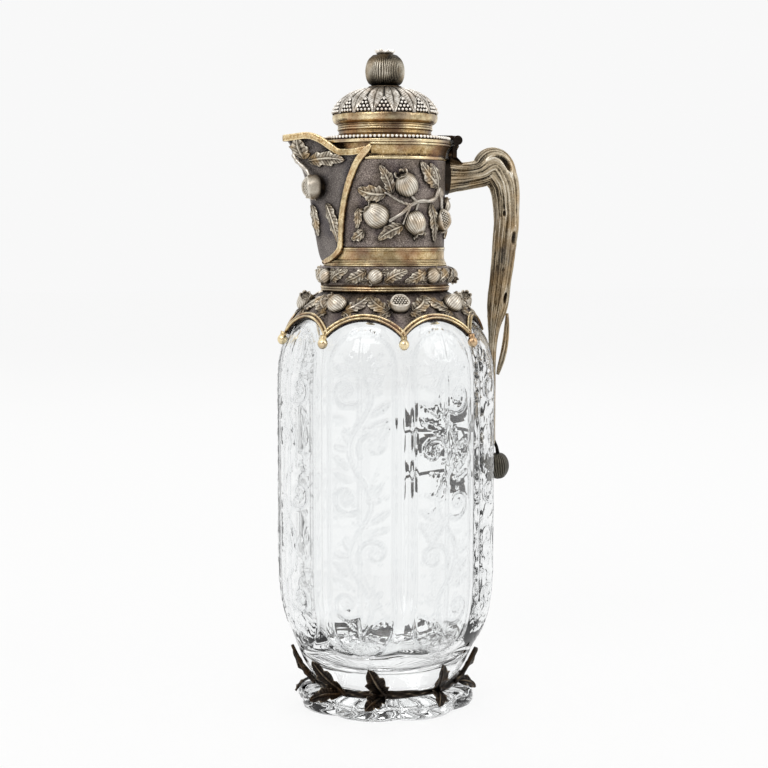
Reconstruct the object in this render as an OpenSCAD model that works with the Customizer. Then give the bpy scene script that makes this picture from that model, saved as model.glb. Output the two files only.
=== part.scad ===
// Claret jug: a thick cut-glass body in silver and silver-gilt mounts. A flared collar with a beak
// spout stands on the shoulder, a cast branch is the handle, a wreath lies round the foot, and a
// domed lid turns on a hinge behind the collar. Millimetres, +Z up. The origin is the middle of the
// flat underside of the foot. The spout points to -X, the handle and the hinge to +X.

/* [Glass] */
// Radius of the glass over the middle of a panel
body_r = 54; // [50:0.5:60]
// Number of upright panels round the body
panels = 8; // [6:1:10]
// How far each panel's own axis stands off the axis of the jug
panel_offset = 22; // [16:1:24]
// Height at which the panels start to close towards their arched tops
panel_top_z = 150; // [140:1:154]
// Height where the arched tops die into the shoulder
arch_top_z = 194; // [190:0.5:196]
// Height below which the panels close towards their round bottoms
panel_bottom_z = 75; // [65:1:90]
// Height where the round bottoms die into the cup
arch_bottom_z = 22; // [20:0.5:26]
// Radius of the plain cup between the panels
cup_r = 50.6; // [50:0.1:50.9]
// Radius of the waist above the foot
waist_r = 33; // [30:0.5:34]
// Height of the waist
waist_z = 11.5; // [11:0.1:12.5]
// Radius of the foot over the middle of a lobe
foot_r = 44; // [43:0.5:48]
// Height of the upright edge of the foot
foot_edge_h = 5.8; // [4:0.1:7]
// Greatest radius of the hollow
cavity_r = 46.6; // [44:0.1:47.4]
// Height of the floor of the hollow
cavity_floor_z = 22; // [19:0.5:26]
// Radius of the glass neck
neck_r = 26.8; // [26.2:0.1:27]
// Radius of the way through the neck
neck_bore_r = 23; // [20:0.5:24]
// Height of the top of the glass neck
neck_top_z = 226; // [218:1:234]

/* [Neck mounts] */
// Bore of the collar and of the rings under it
collar_bore_r = 27.6; // [27.2:0.05:27.8]
// Outer radius of the collar at its foot
collar_foot_r = 28.8; // [28.4:0.1:29.4]
// Outer radius of the collar under the rim
collar_top_r = 29.4; // [29:0.1:30]
// Thickness of the shoulder mount
shoulder_t = 1.2; // [0.8:0.1:1.6]
// Height of the foot of the neck mounts, where the shoulder mount ends
shoulder_top_z = 203.3; // [202:0.1:204.5]
// Radius of the top of the shoulder mount
shoulder_top_r = 30.3; // [29.6:0.1:31]
// Height of the points of the shoulder mount
tip_z = 183; // [182:0.25:184]
// Radius of the points of the shoulder mount
tip_r = 48.8; // [48.6:0.1:49.4]
// Radius of the arches cut in the shoulder mount
arch_r = 24.4; // [24:0.1:25]
// Height of the gilt ring on the shoulder
neck_ring_h = 3.4; // [2:0.1:5]
// Height of the garland ring
garland_h = 8.8; // [7:0.1:11]
// Greatest radius of the garland ring
garland_r = 32.7; // [32:0.1:34]
// Height of the gilt moulding on the garland
moulding_h = 1.9; // [1.2:0.1:3]
// Height of the plain gilt band
base_band_h = 7.1; // [5:0.1:9]
// Height of the matted wall of the collar
collar_h = 41.4; // [38:0.2:46]
// Height of the rim
rim_h = 7.8; // [7:0.1:10]
// Radius of the rim at its top
rim_r = 32; // [31.4:0.1:32.1]

/* [Spout] */
// Reach of the spout from the axis
spout_reach = 48.5; // [46:0.5:56]
// How full the keel is under the spout
keel_belly = 8; // [6:0.5:9]
// Thickness of the spout
spout_t = 1.2; // [0.8:0.1:1.6]
// Height of the lip of the spout above the rim
lip_rise = 5.5; // [3:0.5:6]
// Depth of the dip of the lip beside the lid
lip_dip = 2.8; // [2.6:0.1:5]
// Half height of the wire along the lip
lip_wire_h = 1.3; // [0.9:0.1:1.6]
// Half width of the wires beside the spout
side_wire_w = 1.6; // [1.2:0.1:1.8]

/* [Lid] */
// Radius of the plate of the lid
lid_r = 31.9; // [31.4:0.1:31.9]
// Height of the plate of the lid at its edge
lid_plate_h = 3.4; // [3.4:0.1:4]
// Radius of the beads on the edge
bead_r = 0.95; // [0.8:0.05:1]
// Number of places for beads round the edge
bead_places = 96; // [72:1:100]
// Outer radius of the bezel that drops into the rim
bezel_r = 27.2; // [26.5:0.1:27.4]
// Depth of the bezel below the plate
bezel_h = 4.2; // [3:0.1:6]
// Radius of the gilt band under the dome
band_r = 23.2; // [22:0.1:24]
// Height of the gilt band under the dome
band_h = 4.8; // [4:0.1:6]
// Greatest radius of the dome
dome_r = 25; // [24:0.1:26]
// Height of the dome above its widest place
dome_h = 15; // [12:0.1:16]
// Number of leaves and of bunches of grains round the dome
dome_leaves_n = 16; // [12:1:16]
// Radius of one grain
grain_r = 0.78; // [0.6:0.02:0.8]
// Radius of the fruit on top
finial_r = 9.5; // [8:0.1:11]
// Radius of the little crown on the fruit
crown_r = 4.7; // [4:0.1:5.4]

/* [Hinge] */
// Distance of the hinge pin from the axis
hinge_x = 34.6; // [34.5:0.1:36]
// Radius of the knuckles
knuckle_r = 2.3; // [2:0.05:2.4]
// Length of one knuckle
knuckle_len = 2.8; // [2.4:0.1:3.4]
// Radius of the hinge pin
pin_r = 0.9; // [0.7:0.05:1.1]

/* [Handle] */
// Distance of the outside of the branch's back from the axis
handle_reach = 67.2; // [64:0.5:72]
// Half thickness of the branch in the grip
branch_r = 6.3; // [5.4:0.1:7]
// Half thickness of the branch at the collar
branch_root_r = 8.2; // [7.4:0.1:8.6]
// Radius of the fruit at the foot of the handle
handle_fruit_r = 5.7; // [5:0.1:7.5]

/* [Wreath] */
// Radius of the ring that the wreath's branch makes
wreath_r = 34.7; // [34.6:0.1:36]
// Half thickness of the wreath's branch
wreath_t = 1.5; // [1.1:0.1:1.6]

/* [Fits] */
// Gap between two pieces that are soldered or pressed on
solder = 0.06; // [0.04:0.01:0.1]
// Gap under a leaf or a stem that lies on a round surface
leaf_seat = 0.16; // [0.12:0.01:0.25]
// Gap behind the fruits of the garland
fruit_seat = 0.3; // [0.2:0.02:0.36]
// Gap between the spout's shell and the wires along its edges
shell_gap = 0.25; // [0.2:0.05:0.4]
// Gap between the rim and the closed lid
lid_seat = 0.15; // [0.1:0.01:0.3]
// Radial running clearance of the hinge pin
pin_fit = 0.05; // [0.02:0.01:0.08]
// Gap between neighbouring knuckles
knuckle_gap = 0.2; // [0.1:0.02:0.3]

/* [Hidden] */
$fn = 96;

glass_colour = "aliceblue";
plaster_colour = "linen";
dark_silver = "dimgray";
silver = "silver";
gilt = "goldenrod";
spout_a = 180;   // the way that the spout points, degrees from +X

// Heights up the neck
ring_top_z = shoulder_top_z + neck_ring_h;
garland_top_z = ring_top_z + garland_h;
moulding_top_z = garland_top_z + moulding_h;
band_top_z = moulding_top_z + base_band_h;
collar_top_z = band_top_z + collar_h;
rim_top_z = collar_top_z + rim_h;
lid_z = rim_top_z + lid_seat;
plate_top_z = lid_z + lid_plate_h;
lid_band_z = plate_top_z + 1.4;
dome_z = lid_band_z + band_h;
dome_wide_z = dome_z + 3.3;
dome_top_z = dome_wide_z + dome_h;
finial_z = dome_top_z + 7.3;
hinge_z = plate_top_z - 1.05;

// ---- points and curves ----
function unit(v) = v / norm(v);
function mix(a, b, t) = a + (b - a) * t;
function clamp(v, a, b) = min(max(v, a), b);
function smooth(t) = let (c = clamp(t, 0, 1)) c * c * (3 - 2 * c);
function polar(a, r, z) = [r * cos(a), r * sin(a), z];
function bezier(p, t) = pow(1 - t, 2) * p[0] + 2 * t * (1 - t) * p[1] + t * t * p[2];
function bezier_way(p, t) = unit(2 * (1 - t) * (p[1] - p[0]) + 2 * t * (p[2] - p[1]));
function offset_bezier(p, t, d) = let (w = bezier_way(p, t)) bezier(p, t) + d * [w[1], -w[0]];
// A radius that closes from r to nothing as u goes from 0 to 1, along a superellipse of power p
function cap(r, u, p) = r * pow(1 - pow(clamp(u, 0, 1), p), 1 / p);
// The point at t along a list of points, on a smooth curve through them
function between(p, i, t) = let (a = p[max(i - 1, 0)], b = p[i], c = p[i + 1],
    d = p[min(i + 2, len(p) - 1)])
    0.5 * (2 * b + (c - a) * t + (2 * a - 5 * b + 4 * c - d) * t * t
    + (3 * b - a - 3 * c + d) * pow(t, 3));
function spline(p, steps) = [for (i = [0:len(p) - 2], s = [0:steps - 1]) between(p, i, s / steps),
    p[len(p) - 1]];
// The ring of n points round point i of a path, ra across it and rb along the side vector
function ring_at(p, i, ra, rb, n, side) = let (
    way = unit(p[min(i + 1, len(p) - 1)] - p[max(i - 1, 0)]),
    across = unit(cross(side, way)), up = cross(way, across))
    [for (k = [0:n - 1]) let (q = 360 * k / n) p[i] + ra * cos(q) * across + rb * sin(q) * up];

// A closed solid through a list of rings with the same even number of points
module skin(rings) {
    n = len(rings[0]);
    m = len(rings);
    points = [for (ring = rings) each ring];
    sides = [for (i = [0:m - 2], k = [0:n - 1]) let (a = i * n + k, b = i * n + (k + 1) % n)
        each [[a, b + n, b], [a, a + n, b + n]]];
    caps = [for (k = [0:n / 2 - 2], e = [0, (m - 1) * n])
        let (q = [e + k, e + k + 1, e + n - 2 - k, e + n - 1 - k])
        each (e == 0 ? [[q[0], q[1], q[2]], [q[0], q[2], q[3]]]
            : [[q[0], q[2], q[1]], [q[0], q[3], q[2]]])];
    polyhedron(points, concat(sides, caps));
}

// A round or oval tube along a path: radii holds [across, along the side vector] for each point
module tube(path, radii, n = 8, side = [0, 0, 1])
    skin([for (i = [0:len(path) - 1]) ring_at(path, i, radii[i][0], radii[i][1], n, side)]);

// ---- leaves ----
leaf_stations = [0, 0.14, 0.36, 0.6, 0.82, 1];
function leaf_half(w, t) = 0.12 + (w / 2) * pow(sin(180 * pow(t, 0.8)), 0.8);
// A leaf on a round surface. on(a, z, h) is the point at angle a and height z, h off the surface,
// radius is the radius there and rise the millimetres in one step of z.
module leaf_on(on, radius, base, tip, w, lift, rise = 1) {
    arc = radius * PI / 180;
    way = unit([(tip[0] - base[0]) * arc, (tip[1] - base[1]) * rise]);
    skin([for (t = leaf_stations) let (
        mid = mix(base, tip, t),
        half = leaf_half(w, t),
        da = -way[1] * half / arc,
        dz = way[0] * half / rise,
        top = leaf_seat + 0.35 + lift * pow(sin(180 * (0.12 + 0.76 * t)), 0.6))
        [on(mid[0] + da, mid[1] + dz, leaf_seat + 0.3), on(mid[0], mid[1], leaf_seat),
         on(mid[0] - da, mid[1] - dz, leaf_seat + 0.3), on(mid[0], mid[1], top)]]);
}
// A leaf that stands free from base to tip, bowed along the face vector
module free_leaf(base, tip, face, w, bow, t = 0.9) {
    way = unit(tip - base);
    across = unit(cross(way, face));
    out = cross(across, way);
    skin([for (s = leaf_stations) let (
        mid = mix(base, tip, s) + out * bow * sin(180 * s),
        half = leaf_half(w, s))
        [mid + across * half, mid - out * t / 2, mid - across * half, mid + out * t / 2]]);
}

// ---- carriers: the surfaces that the ornament lies on ----
shoulder = [[shoulder_top_r, shoulder_top_z], [mix(shoulder_top_r, tip_r, 0.7), mix(shoulder_top_z,
    tip_z, 0.4)], [tip_r, tip_z]];
function on_shoulder(a, t, h) = let (p = offset_bezier(shoulder, t, -h)) polar(a, p[0], p[1]);
function collar_r(z) = mix(collar_foot_r, collar_top_r, (z - band_top_z) / collar_h);
function on_collar(a, z, h) = polar(a, collar_r(z) + h, z);
garland_edge_r = garland_r - 1.5;
function garland_out(z) = let (u = (z - ring_top_z) / garland_h)
    garland_edge_r + (garland_r - garland_edge_r) * sin(180 * clamp(u, 0, 1));
function on_garland(a, z, h) = polar(a, garland_out(z) + h, z);
dome_power = 2.1;
function dome_pt(q, h = 0) = [dome_r * pow(cos(q), 2 / dome_power) + h * cos(q),
    dome_wide_z + dome_h * pow(sin(q), 2 / dome_power) + h * sin(q)];
function on_dome(a, q, h) = let (p = dome_pt(q, h)) polar(a, p[0], p[1]);

module shoulder_form(grow) rotate_extrude() polygon(concat(
    [for (i = [0:10]) offset_bezier(shoulder, i / 10, -grow)],
    [[0, tip_z - 6], [0, shoulder_top_z + grow]]));
module collar_form(grow) rotate_extrude() polygon([[0, band_top_z - 1], [collar_foot_r + grow,
    band_top_z - 1], [collar_r(collar_top_z) + grow, collar_top_z], [0, collar_top_z]]);

// ---- glass ----
panel_r = body_r - panel_offset;
panel_as = [for (i = [0:panels - 1]) (i + 0.5) * 360 / panels];
notch_as = [for (i = [0:panels - 1]) i * 360 / panels];
half_notch = 180 / panels;
cap_steps = 9;
function quarter(i) = sin(90 * i / cap_steps);
panel_line = concat(
    [for (i = [0:cap_steps]) let (u = quarter(cap_steps - i))
        [cap(panel_r, u, 2.8), mix(panel_bottom_z, arch_bottom_z, u)]],
    [for (i = [0:cap_steps]) let (u = quarter(i))
        [cap(panel_r, u, 3), mix(panel_top_z, arch_top_z, u)]]);
glass_seat = shoulder_t + solder;
cup_line = [[waist_r, waist_z], [waist_r + 12, waist_z + 8.5], [cup_r, waist_z + 46.5]];
neck_start = offset_bezier(shoulder, 1, glass_seat);
core_line = concat([[0, 0], [waist_r, 0]],
    [for (i = [0:8]) bezier(cup_line, i / 8)],
    [for (i = [0:4]) bezier([[cup_r, tip_z - 18], [cup_r - 0.2, tip_z - 8], neck_start], i / 4)],
    [for (i = [1:8]) offset_bezier(shoulder, 1 - i / 8, glass_seat)],
    [[neck_r, shoulder_top_z - glass_seat], [neck_r, neck_top_z], [0, neck_top_z]]);
cavity_top_z = shoulder_top_z - 7.3;
cavity_line = concat([[0, cavity_floor_z]],
    [for (i = [0:8]) let (u = sin(90 * (8 - i) / 8))
        [cap(cavity_r, u, 2.6), mix(60, cavity_floor_z, u)]],
    [for (i = [0:8]) let (u = sin(90 * i / 8))
        [neck_bore_r + cap(cavity_r - neck_bore_r, u, 2.5), mix(150, cavity_top_z, u)]],
    [[neck_bore_r, neck_top_z + 1], [0, neck_top_z + 1]]);

module foot_lobe() rotate_extrude() polygon([[0, 0], [foot_r - panel_offset, 0],
    [foot_r - panel_offset, foot_edge_h], [foot_r - panel_offset - 2, foot_edge_h + 1.4],
    [waist_r - panel_offset, 9], [0, 9]]);
module glass_vessel() color(glass_colour) difference() {
    union() {
        rotate_extrude() polygon(core_line);
        for (a = panel_as) rotate(a) translate([panel_offset, 0, 0]) {
            rotate_extrude() polygon(panel_line);
            foot_lobe();
        }
    }
    rotate_extrude() polygon(cavity_line);
}
module neck_plaster() color(plaster_colour) rotate_extrude() polygon([
    [neck_r + solder, shoulder_top_z - 0.6], [collar_bore_r - solder, shoulder_top_z - 0.6],
    [collar_bore_r - solder, neck_top_z - 1], [neck_r + solder, neck_top_z - 1]]);

// ---- rings of the neck ----
module ring(lines) rotate_extrude() polygon(concat([[collar_bore_r, lines[0][1]]], lines,
    [[collar_bore_r, lines[len(lines) - 1][1]]]));
arch_z = arch_top_z - 3 - arch_r;
module shoulder_mount() color(dark_silver) difference() {
    rotate_extrude() polygon(concat([for (i = [0:10]) offset_bezier(shoulder, i / 10, 0)],
        [for (i = [0:10]) offset_bezier(shoulder, 1 - i / 10, shoulder_t)],
        [[collar_bore_r, shoulder_top_z - shoulder_t], [collar_bore_r, shoulder_top_z]]));
    for (a = panel_as) rotate(a) translate([0, 0, arch_z]) rotate([0, 90, 0])
        cylinder(r = arch_r, h = body_r + 10);
}
// The gilt wire runs along the arches, a little inside their edge
wire_r = 1.1;
function shoulder_t_of(z) = let (n = 40) lookup(z, [for (i = [0:n]) [bezier(shoulder, 1 - i / n)[1],
    1 - i / n]]);
function arch_pt(q, grow) = let (
    z = arch_z + (arch_r + grow) * sin(q),
    t = shoulder_t_of(z),
    p = offset_bezier(shoulder, t, -wire_r - solder),
    da = asin(clamp((arch_r + grow) * cos(q) / p[0], -1, 1)))
    [da, p];
arch_q0 = [for (q = [10:0.5:60]) if (arch_pt(q, wire_r)[0] < half_notch - 1.6) q][0];
module shoulder_wire() color(gilt) for (a = panel_as) tube([for (i = [0:12]) let (
    w = arch_pt(mix(arch_q0, 180 - arch_q0, i / 12), wire_r)) polar(a + w[0], w[1][0], w[1][1])],
    [for (i = [0:12]) [wire_r, wire_r]], 6);
// The points end where two arches meet; a ball hangs under each, but the branch covers one of them
ball_r = 2;
ball_gap = 0.95;
point_z = arch_z + sqrt(pow(arch_r, 2) - pow(tip_r * sin(half_notch), 2));
module shoulder_balls() color(gilt) for (a = notch_as) if (a > 0)
    translate(polar(a, neck_start[0] + ball_r + ball_gap, point_z - ball_r - solder)) sphere(ball_r);

module neck_ring() color(gilt) ring([[shoulder_top_r + 0.5, shoulder_top_z],
    [shoulder_top_r + 0.9, shoulder_top_z + 0.9], [shoulder_top_r + 0.9, ring_top_z - 0.9],
    [shoulder_top_r + 0.5, ring_top_z]]);
module garland_ring() color(dark_silver) ring([for (i = [0:8]) let (
    z = mix(ring_top_z, garland_top_z, i / 8)) [garland_out(z), z]]);
module base_moulding() color(gilt) ring([[garland_edge_r - 1.6, garland_top_z],
    [garland_edge_r - 1.2, garland_top_z + moulding_h / 2], [garland_edge_r - 1.7, moulding_top_z]]);
band_rim = 0.5;   // how far the band's foot stands out from its wall
module base_band() color(gilt) ring([[collar_foot_r + band_rim, moulding_top_z],
    [collar_foot_r + band_rim, moulding_top_z + 0.9], [collar_foot_r, moulding_top_z + 1.2],
    [collar_foot_r, band_top_z - 1.2], [collar_foot_r + 0.4, band_top_z - 0.9],
    [collar_foot_r + 0.4, band_top_z]]);

// ---- collar and rim ----
rim_open = 74;   // half of the angle that the spout takes out of the rim
way_open = 30;   // half of the angle of the way from the collar into the spout
module wedge(a0, half, r, z0, z1) rotate(a0) translate([0, 0, z0]) linear_extrude(z1 - z0)
    polygon(concat([[0, 0]], [for (i = [-4:4]) r * [cos(half * i / 4), sin(half * i / 4)]]));
module collar_body() color(dark_silver) difference() {
    rotate_extrude() polygon([[collar_bore_r, band_top_z], [collar_r(band_top_z), band_top_z],
        [collar_r(collar_top_z), collar_top_z], [collar_bore_r, collar_top_z]]);
    wedge(spout_a, way_open, 60, band_top_z + 14, collar_top_z + 1);
}
module collar_rim() color(gilt) difference() {
    rotate_extrude() polygon([[collar_bore_r, collar_top_z], [collar_top_r + 0.2, collar_top_z],
        [collar_top_r + 0.2, collar_top_z + 1.7], [collar_top_r - 0.1, collar_top_z + 2.1],
        [collar_top_r + 0.4, collar_top_z + 4.6], [rim_r - 0.9, rim_top_z - 1.2],
        [rim_r, rim_top_z - 0.9], [rim_r, rim_top_z], [collar_bore_r, rim_top_z]]);
    wedge(spout_a, rim_open, 60, low_rim_z, rim_top_z + 1);
    wedge(spout_a, low_rim_open, 60, collar_top_z - 1, rim_top_z + 1);
}

// ---- spout: straight walls, tangent to the collar, that meet in a keel ----
keel_z = moulding_top_z + 0.4;
tip_top_z = rim_top_z + lip_rise - 0.9;
function up_keel(z) = clamp((z - keel_z) / (tip_top_z - keel_z), 0, 1);
function keel_r(z) = let (u = up_keel(z), foot = collar_foot_r + 0.5)
    foot + keel_belly * sqrt(u) + (spout_reach - foot - keel_belly) * pow(u, 3.8);
// Half of the angle between the wires beside the spout
function frame_a(z) = let (u = up_keel(z), v = min(u / 0.14, 1))
    35 * sqrt(1 - pow(1 - v, 2)) + 38 * pow(u, 2.6);
function lip_z(da) = rim_top_z + lip_rise - 0.9 * (1 - smooth(abs(da) / 13))
    - (lip_rise + lip_dip) * smooth((abs(da) - 12) / 26) + 1.4 * smooth((abs(da) - 48) / 20);
// The outside of the spout, da degrees from its keel
function spout_r(da, z, grow) = let (
    r0 = collar_r(clamp(z, band_top_z, collar_top_z)) + spout_t,
    meet = acos(min(r0 / (keel_r(z) + spout_t), 1)),
    soft = sqrt(da * da + 6) - sqrt(6))
    grow + (soft < meet ? r0 / cos(meet - soft) : r0);
spout_arc = 30 * PI / 180;   // millimetres in one degree on the spout's walls
// Degrees from the middle of a side wire to the shell's edge, more where the wire slants
function shell_edge(z) = let (slant = (frame_a(z + 0.5) - frame_a(z - 0.5)) * spout_arc)
    (side_wire_w * sqrt(1 + slant * slant) + shell_gap) / spout_arc;
function shell_a(s, z) = s * max(frame_a(z) - shell_edge(z), 1);
// How far the middle of the lip wire lies over the shell's top edge, more where the wire slants
function lip_drop(da) = let (slant = (lip_z(abs(da) + 1) - lip_z(abs(da))) / spout_arc)
    lip_wire_h * (1 + sqrt(1 + slant * slant)) + shell_gap;
function shell_top(s, i = 3, z = rim_top_z) = i == 0 ? z
    : let (da = shell_a(s, z)) shell_top(s, i - 1, lip_z(da) - lip_drop(da));
// The shell lies over the collar, and over the rims of the band below it
function shell_seat(z) = collar_r(clamp(z, band_top_z, collar_top_z)) + 2 * solder
    + band_rim * smooth((band_top_z + 6 - z) / 3);
shell_steps = 20;
function shell_point(s, t, inside) = let (
    z = mix(keel_z + 0.8, shell_top(s), t),
    da = shell_a(s, z),
    r = spout_r(da, z, 0))
    polar(spout_a + da, inside ? max(r - spout_t, shell_seat(z)) : r, z);
module spout_shell() color(dark_silver) skin([for (j = [0:16]) concat(
    [for (i = [-shell_steps / 2:shell_steps / 2])
        shell_point(i * 2 / shell_steps, j / 16, false)],
    [for (i = [shell_steps / 2:-1:-shell_steps / 2])
        shell_point(i * 2 / shell_steps, j / 16, true)])]);
lip_as = [for (i = [-12:12]) sign(i) * pow(abs(i) / 12, 1.3) * (frame_a(rim_top_z) - 1)];
module spout_lip_wire() color(gilt) tube([for (da = lip_as)
    polar(spout_a + da, spout_r(da, lip_z(da), -spout_t / 2), lip_z(da) - lip_wire_h)],
    [for (da = lip_as) [0.85, lip_wire_h]], 8);
side_top_z = rim_top_z - lip_dip - 2 * lip_wire_h;
// Under the ends of the lip wire the rim runs on as far as the wires beside the spout
low_rim_z = side_top_z + shell_gap;
low_rim_open = frame_a(side_top_z) + shell_edge(side_top_z) + 1;
side_zs = [for (i = [0:16]) mix(keel_z + 0.4, side_top_z, pow(i / 16, 1.5))];
side_wire_t = 0.9;   // half thickness of a side wire
function side_a(s, z) = spout_a + s * max(frame_a(z), 4.6);
module spout_side_wires() color(gilt) for (s = [-1, 1]) let (
    path = [for (z = side_zs) polar(side_a(s, z), collar_r(max(z, band_top_z)) + side_wire_t
        + shell_gap + band_rim * smooth((band_top_z + 5 - z) / 4), z)])
    skin([for (i = [0:len(path) - 1])
        ring_at(path, i, side_wire_w, side_wire_t, 8, polar(side_a(s, side_zs[i]), 1, 0))]);

// The spray on the spout: [angle, height] from base to tip, then the width
function on_spout(a, z, h) = polar(a, spout_r(a - spout_a, z, h), z);
spout_leaf_rows = [[[186, 267], [187, 275.5], 6], [[188, 266], [213, 265], 6],
    [[199, 244], [207, 226], 6], [[184, 243], [184.5, 229], 4]];
module spout_leaves() color(silver) for (row = spout_leaf_rows, side = [1, -1])
    leaf_on(function(a, z, h) on_spout(a, z, h), 38, [spout_a + side * (row[0][0] - spout_a), row[0][1]],
        [spout_a + side * (row[1][0] - spout_a), row[1][1]], row[2], 0.9);
spout_stem_path = [for (q = [[179.5, 267.5, 1], [182, 264.5, 1.6], [184, 262, 1.6], [188, 260, 2.6]])
    on_spout(q[0], q[1], q[2] + leaf_seat)];
module spout_stem() color(silver) tube(spline(spout_stem_path, 3), [for (i = [0:9]) [0.8, 0.8]], 6);
spout_fruit_at = polar(192, 36.4, 253.4);
spout_fruit_r = 5.7;
// The spout's own form round the fruit
module spout_core(grow) skin([for (k = [-2:2]) let (z = spout_fruit_at[2] + 4 * k)
    concat([[10, 0, z]], [for (da = [-24, -8, 0, 5, 10, 16, 24, 36, 48])
        polar(spout_a + da, spout_r(da, z, grow), z)])]);
module spout_fruit() color(silver) difference() {
    translate(spout_fruit_at) sphere(spout_fruit_r);
    spout_core(0.5);
    fruit_hollow(spout_fruit_at, [-0.75, -0.65, -0.1], spout_fruit_r);
}

// ---- fruits: balls cut to their carrier, some split open over a bed of seeds ----
// The round bed of a split fruit, sunk along way into a ball of radius r
bed_depth = 0.35;
bed_r = 0.74;
module fruit_hollow(at, way, r) let (w = unit(way)) translate(at)
    rotate([0, acos(w[2]), atan2(w[1], w[0])]) translate([0, 0, r * bed_depth])
    cylinder(r = r * bed_r, h = r);
seed_r = 0.62;
module seeds(at, way, r) {
    w = unit(way);
    u = unit(cross(w, [0, 0.1, 1]));
    v = cross(w, u);
    bed = at + w * (r * bed_depth + seed_r + solder);
    translate(bed) sphere(seed_r);
    for (k = [0:5]) translate(bed + 1.5 * (cos(60 * k) * u + sin(60 * k) * v)) sphere(seed_r);
}
// Collar fruits on the camera's side: [angle, height, radius, split open]; the far side mirrors them
collar_rows = [[280, 253.8, 5.9, false], [252, 239.4, 6.2, false], [289, 236.2, 5.8, false],
    [326, 237.6, 5.4, true], [343, 244.5, 3.6, false]];
fruit_sink = 0.7;
function fruit_at(row) = on_collar(row[0], row[1], -fruit_sink);
module near_and_far() {
    children();
    mirror([0, 1, 0]) children();
}
module collar_fruits() color(silver) near_and_far() for (row = collar_rows) difference() {
    translate(fruit_at(row)) sphere(row[2]);
    collar_form(solder);
    if (row[3]) fruit_hollow(fruit_at(row), polar(row[0] + 12, 1, 0.1), row[2]);
}
shoulder_fruit_r = 5;
shoulder_fruit_t = 0.34;
module shoulder_fruits() color(silver) for (i = [0:panels - 1]) {
    at = on_shoulder(notch_as[i], shoulder_fruit_t, 0.6);
    difference() {
        translate(at) sphere(shoulder_fruit_r);
        shoulder_form(solder);
        translate([0, 0, shoulder_top_z - solder])
            cylinder(r = shoulder_top_r + 1 + solder, h = neck_ring_h * 3);
        if (i % 4 == 2) fruit_hollow(at, polar(notch_as[i], 1, 0.9), shoulder_fruit_r);
    }
}
garland_n = 7;
garland_as = [for (i = [0:garland_n - 1]) 252 + i * 360 / garland_n];
module garland_fruits() color(silver) for (a = garland_as) difference() {
    translate(polar(a, garland_r - 0.7, ring_top_z + garland_h / 2)) sphere(garland_h / 2 - 0.3);
    translate([0, 0, ring_top_z - 1]) cylinder(r = garland_r + fruit_seat, h = garland_h + 2);
}
module fruit_seeds() color(silver) {
    near_and_far() for (row = collar_rows) if (row[3])
        seeds(fruit_at(row), polar(row[0] + 12, 1, 0.1), row[2]);
    for (i = [2:4:panels - 1])
        seeds(on_shoulder(notch_as[i], shoulder_fruit_t, 0.6), polar(notch_as[i], 1, 0.9),
            shoulder_fruit_r);
    seeds(spout_fruit_at, [-0.75, -0.65, -0.1], spout_fruit_r);
}

// ---- leaves and branches on the carriers: [base, tip, width] ----
collar_leaf_rows = [[[260, 250], [235, 252], 7], [[266, 250.5], [255.6, 262.8], 5],
    [[318, 254.5], [296, 264], 7.5], [[274, 233.5], [254.5, 229.3], 6],
    [[241, 231.5], [229, 229.2], 4], [[236.5, 243], [234, 235], 4],
    [[308, 244], [312, 229], 5], [[342, 238], [338, 229.5], 4.5]];
module collar_leaves() color(silver) near_and_far() for (row = collar_leaf_rows)
    leaf_on(function(a, z, h) on_collar(a, z, h), collar_top_r, row[0], row[1], row[2], 0.9);
collar_branch_rows = [[[320, 252], [313, 248.4], [301, 246.6], [291, 246.2], [281, 243.8],
    [273, 241], [264.5, 238.6]], [[279, 246.4], [272, 247.5], [266, 249], [261.5, 250]]];
branch_off = 0.95;   // half thickness of a collar branch
module collar_branches() color(silver) near_and_far() for (i = [0, 1]) {
    path = spline([for (p = collar_branch_rows[i])
        on_collar(p[0], p[1], branch_off + leaf_seat - i * 0.3)], 2);
    off = branch_off - i * 0.3;
    tube(path, [for (j = [0:len(path) - 1]) off * (1 - 0.3 * j / len(path)) * [1, 1]], 6);
}
module shoulder_leaves() color(silver) for (a = notch_as, side = [-1, 1])
    leaf_on(function(b, t, h) on_shoulder(b, t, h), 37, [a + side * 9.6, 0.43],
        [a + side * 22, 0.14], 5, 0.8, 26);
garland_step = 360 / garland_n;
garland_low_z = ring_top_z + 1.6;
garland_high_z = garland_top_z - 1.6;
module garland_leaves() color(silver) for (a = garland_as) {
    leaf_on(function(b, z, h) on_garland(b, z, h), garland_r, [a + 9, garland_low_z],
        [a + 27, garland_high_z], 4.4, 0.8);
    leaf_on(function(b, z, h) on_garland(b, z, h), garland_r,
        [a + garland_step - 9, garland_high_z], [a + garland_step - 27, garland_low_z], 4.4, 0.8);
}

// ---- handle: a bent branch, with a shoot and a spray against the back of the glass ----
pad_x = collar_top_r + 1.6;
pad_z = collar_top_z - 7.1;
module handle_pad() color(dark_silver) difference() {
    translate([collar_foot_r - 5, 0, pad_z]) rotate([0, 90, 0])
        cylinder(r = branch_root_r + 0.6, h = pad_x - collar_foot_r + 5);
    collar_form(solder);
    translate([0, 0, collar_top_z - 1]) cylinder(r = collar_top_r + 0.2 + solder, h = rim_h);
}
grip_x = handle_reach - branch_r;
root_gap = 0.35;   // from the pad to the branch, whose root leans a little
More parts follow.
